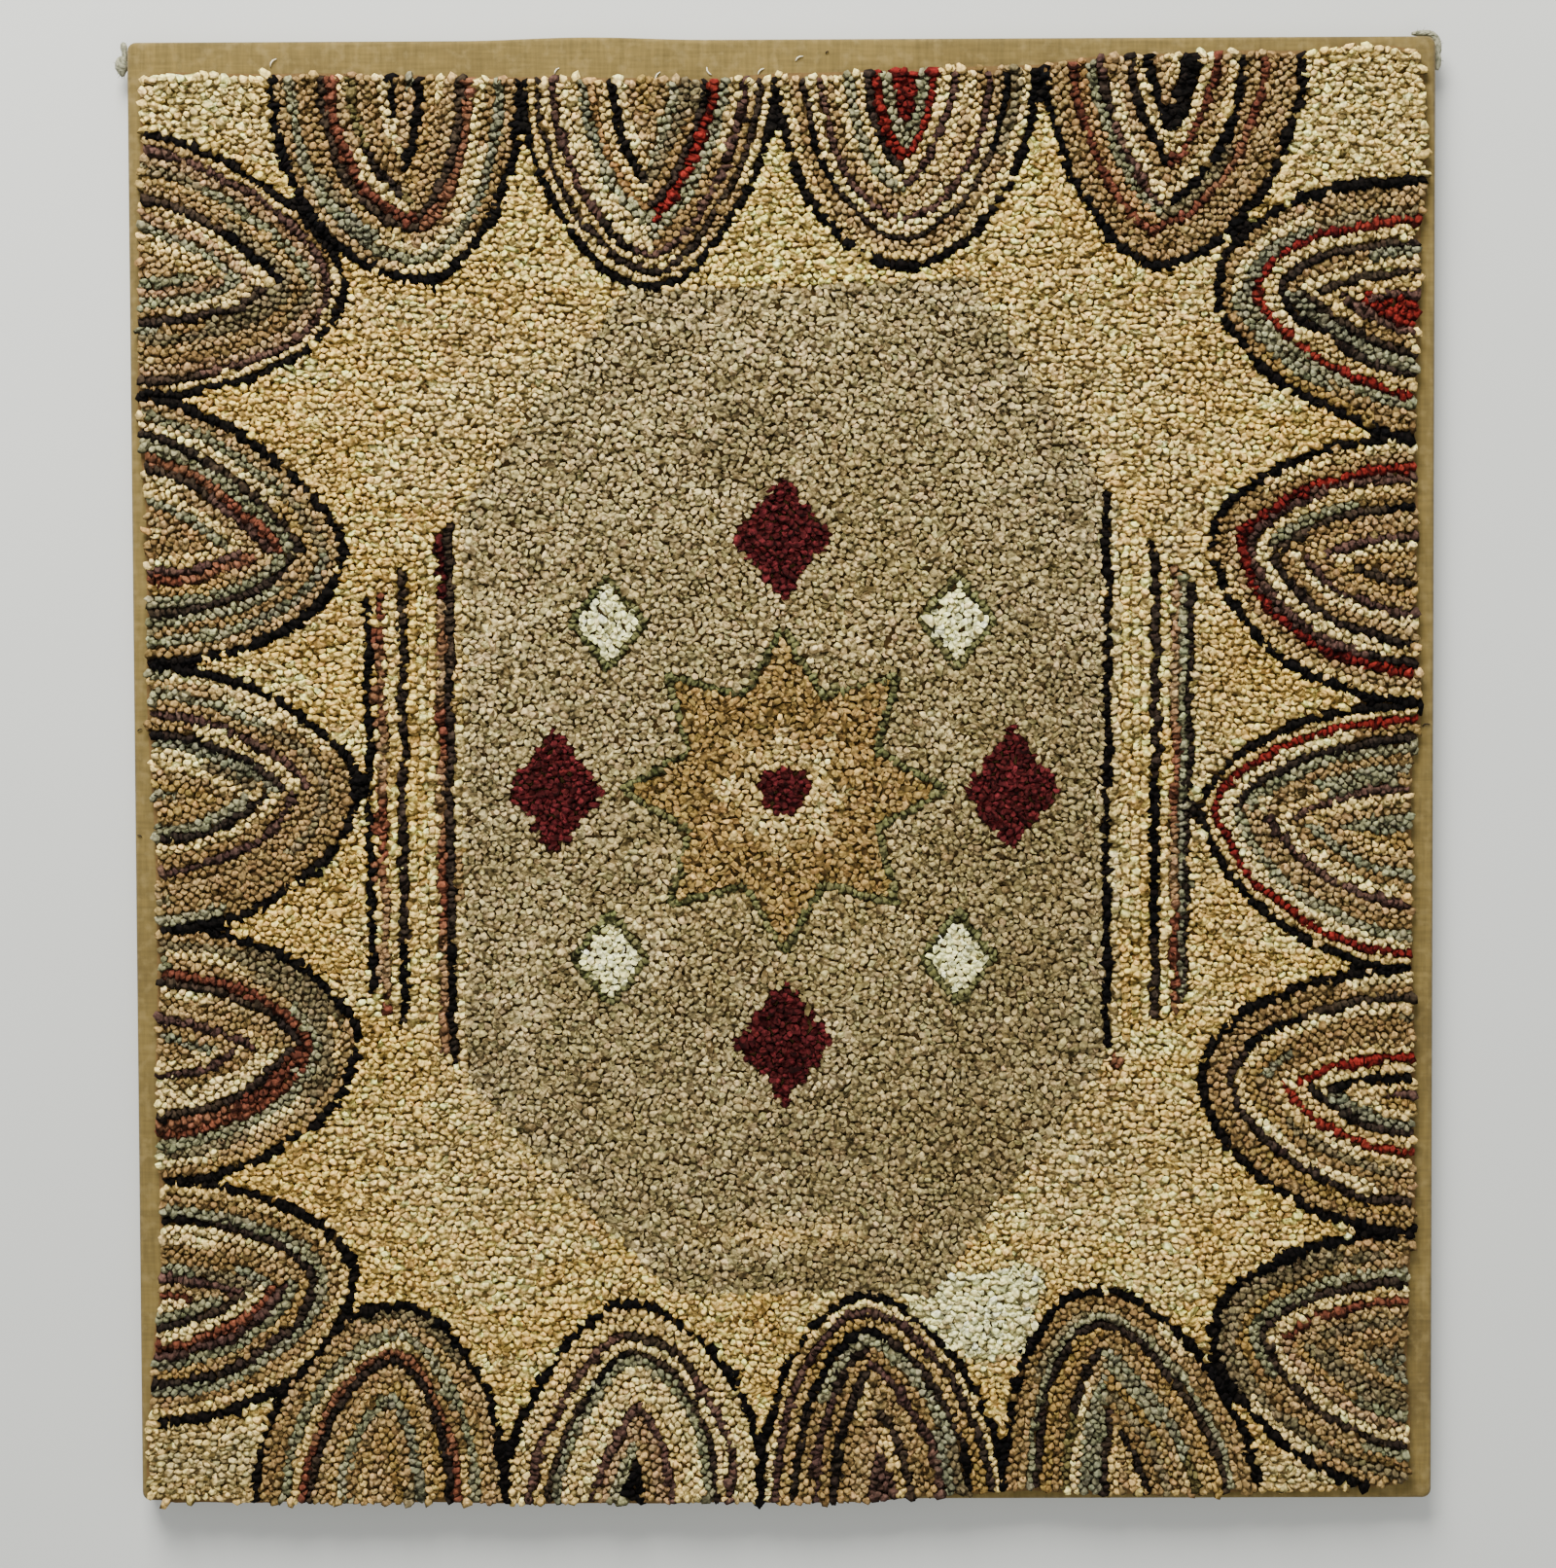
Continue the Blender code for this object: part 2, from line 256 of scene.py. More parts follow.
def drift(x, y, size, seed):
    """Smooth waves of about unit strength over the rug, with lumps of a size in millimetres."""
    waves = np.random.default_rng(seed)
    total = np.zeros_like(x, dtype=float)
    for _ in range(8):
        angle, phase = waves.uniform(0, 2 * math.pi, 2)
        length = size * waves.uniform(0.7, 1.5)
        total += np.sin((x * math.cos(angle) + y * math.sin(angle)) * 2 * math.pi / length + phase)
    return total / 2


def rag_row(name, count, pitch):
    """Colours of a row of loops: strips of the row's rag, some swapped for one much like it."""
    colours, left = [], count
    while left > 0:
        strip = min(int(rng.uniform(*STRIP_LENGTH) / pitch) + 1, left)
        swapped = name in LIKE and rng.random() < SWAPPED
        own = RAG_TONES[rng.choice(LIKE[name]) if swapped else name]
        colours.append(np.repeat(own[rng.integers(0, len(own))][None], strip, 0))
        left -= strip
    return np.concatenate(colours) if colours else np.zeros((0, 3))


# %% [markdown]
# Every row in a tongue follows the tongue's outline at the same distance, like contour lines.
# Far enough in, the rows from the two sides meet at a point, which is why the inner tongues
# are pointed and the outer ones round. The helper moves the outline inwards, row by row, and
# drops what would come closer to the outline than the row's own distance.

# %% Rows of loops
ROW_PITCH = 6.4
LOOP_PITCH = 4.0
PAIR_PITCH = 3.0
PAIR_ASIDE = 0.22
CLEAR = 3.6
LOOP_TALL = 6.2
loops = {key: [] for key in ("x", "y", "turn", "wide", "long", "tall", "colour", "piece")}
taken = [np.zeros((0, 2))]


def spaced(line, pitch):
    """Points along a line at about a pitch, and the line's direction at each."""
    steps = np.linalg.norm(np.diff(line, axis=0), axis=1)
    reach = np.concatenate([[0], np.cumsum(steps)])
    count = int(round(reach[-1] / pitch))
    if count < 1:
        return np.zeros((0, 2)), np.zeros(0)
    at = (np.arange(count) + 0.5) * reach[-1] / count
    place = np.stack([np.interp(at, reach, line[:, i]) for i in (0, 1)], 1)
    ahead = np.stack([np.interp(at + 1.5, reach, line[:, i]) for i in (0, 1)], 1)
    behind = np.stack([np.interp(at - 1.5, reach, line[:, i]) for i in (0, 1)], 1)
    way = ahead - behind
    return place, np.arctan2(way[:, 1], way[:, 0])


def tree_of(place):
    """A search tree of points on the pile."""
    tree = KDTree(len(place))
    for i, (x, y) in enumerate(place):
        tree.insert((x, y, 0), i)
    tree.balance()
    return tree


def nearest(place, others):
    """Distance in millimetres from each point to the closest of others."""
    if not len(others):
        return np.full(len(place), 1e3)
    tree = tree_of(others)
    return np.array([tree.find((x, y, 0))[2] for x, y in place])


def within(place, corners):
    """Which points are inside a closed outline."""
    inside = np.zeros(len(place), bool)
    for a, b in zip(corners, np.roll(corners, -1, axis=0)):
        crosses = (a[1] > place[:, 1]) != (b[1] > place[:, 1])
        rise = b[1] - a[1] if abs(b[1] - a[1]) > 1e-9 else 1e-9
        inside ^= crosses & (place[:, 0] < (b[0] - a[0]) * (place[:, 1] - a[1]) / rise + a[0])
    return inside


def distance_to(place, line):
    """Distance from each point to a line of short steps."""
    a, b = line[:-1], line[1:]
    along = b - a
    share = ((place[:, None] - a) * along).sum(2) / np.maximum((along ** 2).sum(1), 1e-9)
    foot = a + np.clip(share, 0, 1)[..., None] * along
    return np.linalg.norm(place[:, None] - foot, axis=2).min(1)


def hook(piece, place, turn, colour, wide, long=LOOP_PITCH, slant=0.0, closest=0.0, loose=0.55):
    """Adds loops inside the rim that keep their distance from the loops hooked before."""
    keep = room_inside(place[:, 0], place[:, 1]) > LOOP_ROOM
    if closest:
        keep &= nearest(place, np.concatenate(taken)) > closest
    place, turn, colour = place[keep], turn[keep], colour[keep]
    count = len(place)
    loops["x"].append(place[:, 0] + rng.normal(0, loose, count))
    loops["y"].append(place[:, 1] + rng.normal(0, loose, count))
    loops["turn"].append(turn + slant + rng.normal(0, 0.35, count))
    loops["wide"].append(wide * np.exp(rng.normal(0, 0.2, count)))
    loops["long"].append(long * np.exp(rng.normal(0, 0.24, count)))
    loops["tall"].append(LOOP_TALL + rng.normal(0, 0.5, count))
    loops["colour"].append(colour)
    loops["piece"] += [piece] * count
    return place


# %% [markdown]
# The border is a row of tongues along each side, each a pointed arch standing on the rug's
# edge. The table gives each one's two feet along its side, its tip, and its rows of rag from
# the outline inwards, and how much each half bulges: 2 is a full round arch, less is a flatter
# one. A bar between two names means one rag on the first half and another on the second, and a
# name with a minus is a thin row. Side tongues are hooked first, because the top and bottom
# ones stop at them.

# %% Tongues of the border
TONGUES = (
    {"side": "left", "feet": (427, 253), "tip": (-289, 328), "bulge": (1.56, 2.04),
     "rows": "black- cream- plum pink|sage sage|tan tan tan|grey charcoal|tan cream|charcoal pink|cream sage tan|pink cream|sage tan"},
    {"side": "left", "feet": (255, 76), "tip": (-291, 151), "bulge": (1.44, 2.02),
     "rows": "black tan sage tan charcoal|tan sage|charcoal brick|sage plum|tan cream|brick cream|plum sage|cream orange|tan tan orange|tan"},
    {"side": "left", "feet": (76, -103), "tip": (-284, -7), "bulge": (1.73, 1.90),
     "rows": "black tan tan grey tan plum|tan cream|plum charcoal|cream sage|cream tan|charcoal ochre|sage tan ochre tan"},
    {"side": "left", "feet": (-97, -272), "tip": (-285, -179), "bulge": (1.84, 1.89),
     "rows": "black tan grey|pink grey sage brick|sage charcoal|brick cream|charcoal tan|cream cream plum|tan cream|plum sage|cream tan"},
    {"side": "left", "feet": (-270, -434), "tip": (-289, -335), "bulge": (1.94, 1.87),
     "rows": "black cream tan|charcoal sage|tan charcoal|ochre cream|tan tan|sage tan|plum sage|brick sage|cream plum|charcoal cream|tan brick|cream"},
    {"side": "right", "feet": (393, 221), "tip": (287, 314), "bulge": (2.23, 1.53),
     "rows": "black tan tan sage red cream charcoal sage cream|charcoal charcoal|cream cream|plum plum|red red"},
    {"side": "right", "feet": (224, 46), "tip": (284, 157), "bulge": (1.81, 1.88),
     "rows": "black cream tan red plum cream sage|charcoal charcoal|tan tan tan|plum plum|cream cream|ochre ochre|charcoal tan"},
    {"side": "right", "feet": (47, -132), "tip": (278, -22), "bulge": (1.81, 1.74),
     "rows": "black- cream- red cream|charcoal charcoal|sage sage|tan tan tan|plum tan|cream plum|ochre cream|sage tan sage|tan sage|tan"},
    {"side": "right", "feet": (-129, -309), "tip": (278, -203), "bulge": (1.99, 1.79),
     "rows": "black tan tan charcoal cream|pink tan tan tan|cream cream|red red|cream cream|charcoal charcoal|sage cream plum|tan"},
    {"side": "right", "feet": (-307, -486), "tip": (285, -376), "bulge": (1.97, 1.65),
     "rows": "black tan grey tan sage charcoal cream brick|pink tan grey tan|sage tan grey sage|grey"},
    {"side": "top", "feet": (-339, -171), "tip": (-238, 329), "bulge": (2.03, 1.94),
     "rows": "black tan sage tan tan|charcoal charcoal|brick brick|charcoal cream|tan olive|tan tan|ochre tan|black grey|sage black|tan"},
    {"side": "top", "feet": (-173, -2), "tip": (-84, 323), "bulge": (1.83, 1.65),
     "rows": "black- cream- charcoal- cream- plum cream cream|sage sage|red orange|charcoal- cream|tan charcoal|tan cream|tan tan ochre|tan"},
    {"side": "top", "feet": (-5, 170), "tip": (80, 336), "bulge": (1.88, 1.94),
     "rows": "black cream|sage tan charcoal- cream plum- cream cream|tan sage|cream cream|plum charcoal|cream red sage red"},
    {"side": "top", "feet": (171, 347), "tip": (248, 336), "bulge": (1.61, 1.82),
     "rows": "black tan tan brick|tan orange|brick sage plum|black cream tan charcoal|brick cream black cream|black cream"},
    {"side": "bottom", "feet": (-358, -187), "tip": (-262, -353), "bulge": (1.84, 1.95),
     "rows": "black tan tan sage cream- brick- charcoal tan ochre tan tan ochre tan"},
    {"side": "bottom", "feet": (-193, -14), "tip": (-109, -354), "bulge": (1.56, 2.02),
     "rows": "black cream cream plum cream- charcoal- sage cream cream cream plum pink sage black"},
    {"side": "bottom", "feet": (-18, 149), "tip": (54, -349), "bulge": (1.96, 1.74),
     "rows": "black- cream- plum ochre charcoal|cream sage|charcoal plum|sage tan|plum charcoal|tan cream|tan tan|charcoal tan|cream plum"},
    {"side": "bottom", "feet": (145, 319), "tip": (215, -344), "bulge": (2.23, 1.55),
     "rows": "black cream|tan tan- sage- charcoal ochre tan|ochre olive cream|tan sage|ochre sage charcoal|tan cream|charcoal tan|cream brick"},
)
ARCH_STEPS = 44
THIN = 0.76
OVERRUN = 34.0


def arch_of(tongue):
    """A tongue's outline from its first foot round the tip to its second, in millimetres."""
    side = tongue["side"]
    upright = side in ("left", "right")
    tip_along, tip_in = tongue["tip"][::-1] if upright else tongue["tip"]
    base = float(edge(side, tip_along))
    way = 1 if tip_in > base else -1
    depth = abs(tip_in - base)
    turn = np.linspace(0, math.pi / 2, ARCH_STEPS)
    power = [2 / bulge for bulge in tongue["bulge"]]
    first = tip_along + (tongue["feet"][0] - tip_along) * np.cos(turn) ** power[0]
    second = tip_along + (tongue["feet"][1] - tip_along) * np.cos(turn[::-1]) ** power[1]
    inward = [depth * np.sin(turn) ** p for p in power]
    along = np.concatenate([[tongue["feet"][0]], first, second[1:], [tongue["feet"][1]]])
    rise = np.concatenate([[-OVERRUN], inward[0], inward[1][::-1][1:], [-OVERRUN]])
    across = base + way * rise
    line = np.stack([across, along] if upright else [along, across], 1)
    fine = [line[0] + (line[1] - line[0]) * s for s in np.linspace(0, 1, 12)[:-1]]
    last = [line[-2] + (line[-1] - line[-2]) * s for s in np.linspace(0, 1, 12)]
    return np.concatenate([fine, line[1:-2], last])


def rows_inside(line, depths):
    """Lines that follow an outline inwards, one for each row, with the share along it."""
    way = np.gradient(line, axis=0)
    normal = np.stack([-way[:, 1], way[:, 0]], 1)
    normal /= np.maximum(np.linalg.norm(normal, axis=1, keepdims=True), 1e-9)
    if ((line.mean(0) - line) * normal).sum() < 0:
        normal = -normal
    for k, far in enumerate(depths):
        moved = line + normal * far
        kept = distance_to(moved, line) > far - 0.2
        moved += normal * (0.8 * drift(moved[:, 0], moved[:, 1], 42, 7 + k))[:, None]
        runs = np.split(np.arange(len(line)), np.flatnonzero(np.diff(kept.astype(int))) + 1)
        for run in runs:
            if kept[run[0]] and len(run) > 1:
                yield k, moved[run], run.mean() > len(line) / 2


ROW_FILL = {"plum": 0.9, "charcoal": 0.82, "black": 1.05}
arches = []
for tongue in TONGUES:
    arch = arch_of(tongue)
    names = tongue["rows"].split()
    half = abs(tongue["feet"][0] - tongue["feet"][1]) / 2
    count = int(round(half / ROW_PITCH))
    pitch = half / (count - 0.35)
    spans = np.array([THIN if name.endswith("-") else 1.0 for name in names] + [1.0] * 4)
    depths = (np.cumsum(spans) - spans + 0.15) * pitch
    group = []
    for k, line, second in rows_inside(arch, depths[depths < half]):
        name = names[min(k, len(names) - 1)].rstrip("-")
        name = name.split("|")[int(second)] if "|" in name else name
        dark = name in ("black", "plum", "charcoal")
        paired = spans[k] == 1 and not dark and name not in ("brick", "red")
        step = PAIR_PITCH if paired else LOOP_PITCH
        place, turn = spaced(line, step)
        if not len(place):
            continue
        if paired:
            # Wide light rags fold in two, so their loops stand in staggered pairs.
            aside = np.where(np.arange(len(place)) % 2, PAIR_ASIDE, -PAIR_ASIDE) * pitch
            place = place + aside[:, None] * np.stack([-np.sin(turn), np.cos(turn)], 1)
        free = np.ones(len(place), bool)
        for other in arches:
            free &= ~within(place, other)
        colour = rag_row(name, len(place), step)
        slant = 0.42 if dark else rng.uniform(-0.25, 0.25)
        if name == "black":
            there = rng.random(len(place)) > 0.04
            place, turn, colour, free = place[there], turn[there], colour[there], free[there]
        group.append(hook(
            f"tongue_loops_{tongue['side']}", place[free], turn[free], colour[free],
            wide=pitch * spans[k] * ROW_FILL.get(name, 0.64 if paired else 0.88), slant=slant,
            closest=CLEAR if arches else 0.0,
        ))
    arches.append(arch)
    taken.append(np.concatenate(group))
print("tongues:", len(TONGUES), "loops:", sum(map(len, taken)))

# %% [markdown]
# Two bands of upright rows flank the middle: dark, pink and pale lines with plain ground
# between them. Each is given by where it starts and ends, and by its rag.

# %% Upright stripes beside the middle
STRIPES = (
    {"x": (-277, -274), "y": (119, -145), "rag": "black"},
    {"x": (-268, -265), "y": (121, -158), "rag": "pink"},
    {"x": (-260.5, -259), "y": (128, -162), "rag": "ground"},
    {"x": (-253, -253), "y": (137, -165), "rag": "charcoal"},
    {"x": (-246.5, -246.5), "y": (143, -170), "rag": "ground"},
    {"x": (-240, -240), "y": (148, -176), "rag": "ground"},
    {"x": (-234, -233), "y": (154, -181), "rag": "ground"},
    {"x": (-227.5, -227), "y": (161, 118), "rag": "darkred"},
    {"x": (-227.5, -227), "y": (117, -186), "rag": "pink"},
    {"x": (-221.5, -221.5), "y": (168, -192), "rag": "charcoal"},
    {"x": (-215.5, -215.5), "y": (176, -198), "rag": "cream"},
    {"x": (216.5, 215.5), "y": (188, -184), "rag": "black"},
    {"x": (222, 221), "y": (182, -184), "rag": "beige"},
    {"x": (219, 222), "y": (-186, -198), "rag": "brick"},
    {"x": (228.5, 228.5), "y": (176, -178), "rag": "ground"},
    {"x": (235, 235), "y": (168, -172), "rag": "ground"},
    {"x": (241.5, 241.5), "y": (162, -168), "rag": "ground"},
    {"x": (248, 248), "y": (155, -162), "rag": "charcoal"},
    {"x": (254.5, 254.5), "y": (146, -159), "rag": "ground"},
    {"x": (261, 261), "y": (138, -156), "rag": "pink"},
    {"x": (266.5, 266), "y": (133, -152), "rag": "sage"},
    {"x": (272, 267), "y": (127, -149), "rag": "charcoal"},
)
STRIPE_WIDE = 5.2
stripe_loops = []
for stripe in STRIPES:
    ends = np.array([(stripe["x"][i], stripe["y"][i]) for i in (0, 1)], float)
    line = ends[0] + (ends[1] - ends[0]) * np.linspace(0, 1, 60)[:, None]
    line[:, 0] += 0.8 * drift(line[:, 0] * 0, line[:, 1], 70, 5)
    place, turn = spaced(line, LOOP_PITCH)
    colour = rag_row(stripe["rag"], len(place), LOOP_PITCH)
    if stripe["rag"] == "pink":
        mix = np.clip(0.5 + 0.5 * drift(place[:, 0], place[:, 1], 60, 8), 0, 1)[:, None]
        colour = colour * (1 - mix) + RAG_TONES["brick"][0] * mix
    stripe_loops.append(
        hook("stripe_loops", place, turn, colour, wide=STRIPE_WIDE, slant=0.2, closest=CLEAR)
    )
taken.append(np.concatenate(stripe_loops))

# %% [markdown]
# The middle of the rug holds a plain medallion: an eight-pointed star with a pale core, four
# dark red diamonds at its sides and four small cream ones between them. Its outlines are rows
# of their own, and the rest is filled by the field's rows.

# %% Medallion
CENTRE = np.array([0.0, -10.0])


def star(outer, inner, points=8):
    turn = np.arange(2 * points) * math.pi / points + math.pi / 2
    reach = np.where(np.arange(2 * points) % 2 == 0, outer, inner)
    return CENTRE + np.stack([np.cos(turn), np.sin(turn)], 1) * reach[:, None]


def diamond(x, y, half_wide, half_tall):
    corners = ((x + half_wide, y), (x, y + half_tall), (x - half_wide, y), (x, y - half_tall))
    return CENTRE + np.array(corners, float)


MOTIFS = [
    {"outline": star(108, 68), "rag": "ochre", "edge": "green"},
    {"outline": star(52, 30), "rag": "cream", "edge": None},
    {"outline": star(17, 17), "rag": "darkred", "edge": None},
]
for x, y in ((0, 168), (0, -168), (152, 0), (-152, 0)):
    MOTIFS.append({"outline": diamond(x, y, 33, 43), "rag": "darkred", "edge": None})
for x in (-116, 116):
    for y in (-112, 112):
        MOTIFS.append({"outline": diamond(x, y, 25, 31), "rag": "white", "edge": "green"})
EDGE_WIDE, EDGE_CLEAR = 4.8, 3.0
outline_loops = []
for motif in MOTIFS:
    if motif["edge"]:
        ring = np.concatenate([motif["outline"], motif["outline"][:1]])
        for a, b in zip(ring, ring[1:]):
            place, turn = spaced(np.stack([a, b]), LOOP_PITCH)
            colour = rag_row(motif["edge"], len(place), LOOP_PITCH)
            outline_loops.append(
                hook("medallion_loops", place, turn, colour, wide=EDGE_WIDE, closest=EDGE_CLEAR)
            )
taken.append(np.concatenate(outline_loops))

# %% [markdown]
# The ground and the octagonal field are hooked back and forth in level rows that wander with
# the maker's hand. The field's rags are thinner and rougher. Worn and faded places are soft
# spots of another rag: the table gives their middle, size, rag and strength. A power above 2
# makes a spot squarer.

# %% Ground and field
FIELD = np.array([
    (-105, 321), (127, 329), (213, 196), (213, -194), (99, -348), (-76, -347), (-102, -321),
    (-212, -204), (-213, 180),
], float)
SPOTS = (
    {"on": "ground", "at": (-160, 240), "size": (75, 70), "rag": "beige", "share": 0.9},
    {"on": "ground", "at": (172, 250), "size": (70, 75), "rag": "beige", "share": 0.8},
    {"on": "ground", "at": (-185, -265), "size": (75, 60), "rag": "beige", "share": 0.7},
    {"on": "ground", "at": (195, -255), "size": (70, 60), "rag": "beige", "share": 0.8},
    {"on": "ground", "at": (-395, 448), "size": (75, 38), "rag": "corner", "share": 1.0},
    {"on": "ground", "at": (392, 430), "size": (60, 60), "rag": "corner", "share": 1.0},
    {"on": "ground", "at": (-385, -462), "size": (75, 40), "rag": "dun", "share": 0.9},
    {"on": "ground", "at": (370, -470), "size": (60, 25), "rag": "dun", "share": 0.9},
    {"on": "ground", "at": (127, -360), "size": (37, 26), "rag": "white", "share": 3.2, "power": 6},
    {"on": "ground", "at": (0, 400), "size": (120, 90), "rag": "pale", "share": 2.0},
    {"on": "ground", "at": (262, 60), "size": (28, 170), "rag": "beige", "share": 0.8},
    {"on": "ground", "at": (178, -404), "size": (16, 26), "rag": "ochre", "share": 1.0},
    {"on": "ground", "at": (-205, 292), "size": (24, 16), "rag": "ochre", "share": 0.5},
    {"on": "field", "at": (10, -60), "size": (110, 75), "rag": "brown", "share": 0.9},
    {"on": "field", "at": (60, 120), "size": (70, 80), "rag": "brown", "share": 0.6},
    {"on": "field", "at": (160, -70), "size": (55, 150), "rag": "umber", "share": 0.8},
    {"on": "field", "at": (120, -250), "size": (110, 70), "rag": "umber", "share": 0.9},
    {"on": "field", "at": (-130, -240), "size": (90, 80), "rag": "umber", "share": 0.5},
    {"on": "field", "at": (10, -336), "size": (95, 14), "rag": "umber", "share": 0.9},
    {"on": "field", "at": (-2, -308), "size": (46, 9), "rag": "ground", "share": 0.6},
    {"on": "field", "at": (-170, 120), "size": (45, 60), "rag": "beige", "share": 0.3},
)
KINDS = {
    "ground": {"row": 3.6, "loop": 5.4, "jitter": 0.5, "turn": 0.35, "seed": 21},
    "field": {"row": 3.6, "loop": 5.0, "jitter": 0.75, "turn": 0.7, "seed": 22},
}


def level_rows(kind):
    """Candidate places on wandering level rows over the whole pile, and their directions."""
    rows = np.arange(-492, 492, kind["row"])
    cells = np.arange(-440, 440, kind["loop"])
    x, y = np.meshgrid(cells, rows)
    x = x + rng.uniform(0, kind["loop"], (len(rows), 1))
    wander = 3.2 * drift(x, y * 0.6, 190, kind["seed"]) + 0.7 * drift(x, y * 2.5, 60, kind["seed"] + 1)
    shift = 2.0 * drift(x * 0.7, y, 160, kind["seed"] + 2)
    place = np.stack([(x + shift).ravel(), (y + wander).ravel()], 1)
    place += rng.normal(0, kind["jitter"], place.shape)
    return place, rng.normal(0, kind["turn"], len(place))


def tinted(place, base, on):
    """Rag colours over an area: its own rag, mixed with the spots that fade it."""
    tones = RAG_TONES[base]
    pick = np.clip(((drift(place[:, 0] * 0.5, place[:, 1] * 2.0, 75, 31) + 2) / 4), 0, 0.999)
    colour = tones[(pick * len(tones)).astype(int)]
    for spot in SPOTS:
        if spot["on"] == on:
            ragged = 1 + 0.15 * drift(*place.T, 50, 33)
            off = (place - spot["at"]) / spot["size"] * ragged[:, None]
            share = spot["share"] * np.exp(-(abs(off) ** spot.get("power", 2)).sum(1))
            share = np.clip(share, 0, 1)
            share = np.clip(share + 0.2 * share * rng.normal(0, 1, len(place)), 0, 1)[:, None]
            other = RAG_TONES[spot["rag"]]
            colour = colour * (1 - share) + other[rng.integers(0, len(other), len(place))] * share
    return colour


MEETING = 3.8


def meets(place):
    """Which points are in the narrow black wedge where two tongues meet."""
    return (np.stack([distance_to(place, arch) for arch in arches]) < MEETING).sum(0) > 1


AREA_CLEAR = 3.7
before = np.concatenate(taken)
laid = []
for area, kind in KINDS.items():
    place, turn = level_rows(kind)
    keep = room_inside(*place.T) > LOOP_ROOM
    keep &= within(place, FIELD) == (area == "field")
    place, turn = place[keep], turn[keep]
    free = ~np.any([within(place, arch) for arch in arches], axis=0)
    place, turn = place[free], turn[free]
    keep = nearest(place, before) > AREA_CLEAR
    place, turn = place[keep], turn[keep]
    colour = tinted(place, "ground" if area == "ground" else "taupe", area)
    if area == "ground":
        colour[meets(place)] = RAG_TONES["black"][0]
    else:
        for motif in MOTIFS:
            inside = within(place, motif["outline"])
            tones = RAG_TONES[motif["rag"]]
            colour[inside] = tones[rng.integers(0, len(tones), int(inside.sum()))]
    for upper in (True, False):
        part = (place[:, 1] > -10) == upper
        name = f"{area}_loops_{'upper' if upper else 'lower'}"
        laid.append(
            hook(name, place[part], turn[part], colour[part], wide=kind["row"], long=kind["loop"])
        )
taken += laid
print("loops so far:", len(loops["piece"]))

# %% [markdown]
# A hooker fills every hole that the foundation shows. Any place too far from all loops gets
# one more, in the colour of its neighbour. Then the loops settle: each is pushed away from
# neighbours that crowd it, as real ones do, and swells until it touches the ones around it.

# %% Fill the holes and settle the loops
HOLE = 3.8
CELL = 1.3
SETTLE = 3.4
GIVE_WAY = 0.28
EDGE_ROOM = 2.3
FILLER_WIDE = 4.6
grid_x, grid_y = np.arange(-440, 440, CELL), np.arange(-495, 495, CELL)
covered = np.zeros((len(grid_x), len(grid_y)), bool)
reach = int(HOLE / CELL) + 1
stamp = [(i, j) for i in range(-reach, reach + 1) for j in range(-reach, reach + 1)
         if math.hypot(i, j) * CELL < HOLE]


def cover(place):
    index = np.round((place - (grid_x[0], grid_y[0])) / CELL).astype(int)
    for i, j in stamp:
        x = np.clip(index[:, 0] + i, 0, len(grid_x) - 1)
        y = np.clip(index[:, 1] + j, 0, len(grid_y) - 1)
        covered[x, y] = True


places = np.stack([np.concatenate(loops["x"]), np.concatenate(loops["y"])], 1)
colours = np.concatenate(loops["colour"])
cover(places)
mesh_x, mesh_y = np.meshgrid(grid_x, grid_y, indexing="ij")
covered |= room_inside(mesh_x.ravel(), mesh_y.ravel()).reshape(covered.shape) < LOOP_ROOM
fillers = []
for i, j in rng.permutation(np.argwhere(~covered)):
    if not covered[i, j]:
        cover(np.array([[grid_x[i], grid_y[j]]]))
        fillers.append((grid_x[i], grid_y[j]))
fillers = np.array(fillers)
tree = tree_of(places)
bright = colours.sum(1)
beside = np.array([
    max((j for _, j, _ in tree.find_n((x, y, 0), 3)), key=lambda j: bright[j]) for x, y in fillers
])
filled = colours[beside]
filled[meets(fillers)] = RAG_TONES["black"][0]
names = np.array(loops["piece"])
for piece in sorted(set(names)):
    own = names[beside] == piece
    hook(piece, fillers[own], rng.uniform(0, math.pi, own.sum()), filled[own], wide=FILLER_WIDE)
places = np.stack([np.concatenate(loops["x"]), np.concatenate(loops["y"])], 1)
for _ in range(2):
    tree = tree_of(places)
    near = np.array([[j for _, j, _ in tree.find_n((x, y, 0), 7)][1:] for x, y in places])
    away = places[:, None] - places[near]
    gap = np.maximum(np.linalg.norm(away, axis=2), 0.1)
    push = np.clip(SETTLE - gap, 0, None)
    places += GIVE_WAY * (away * (push / gap)[..., None]).sum(1)
    for axis, (low_side, high_side) in enumerate((("left", "right"), ("bottom", "top"))):
        low = edge(low_side, places[:, 1 - axis]) + EDGE_ROOM
        high = edge(high_side, places[:, 1 - axis]) - EDGE_ROOM
        places[:, axis] = np.clip(places[:, axis], low, high)
swell = np.clip(gap.mean(1) / np.median(gap.mean(1)), 0.8, 1.3)
print("holes filled:", len(fillers), "loops in all:", len(places))
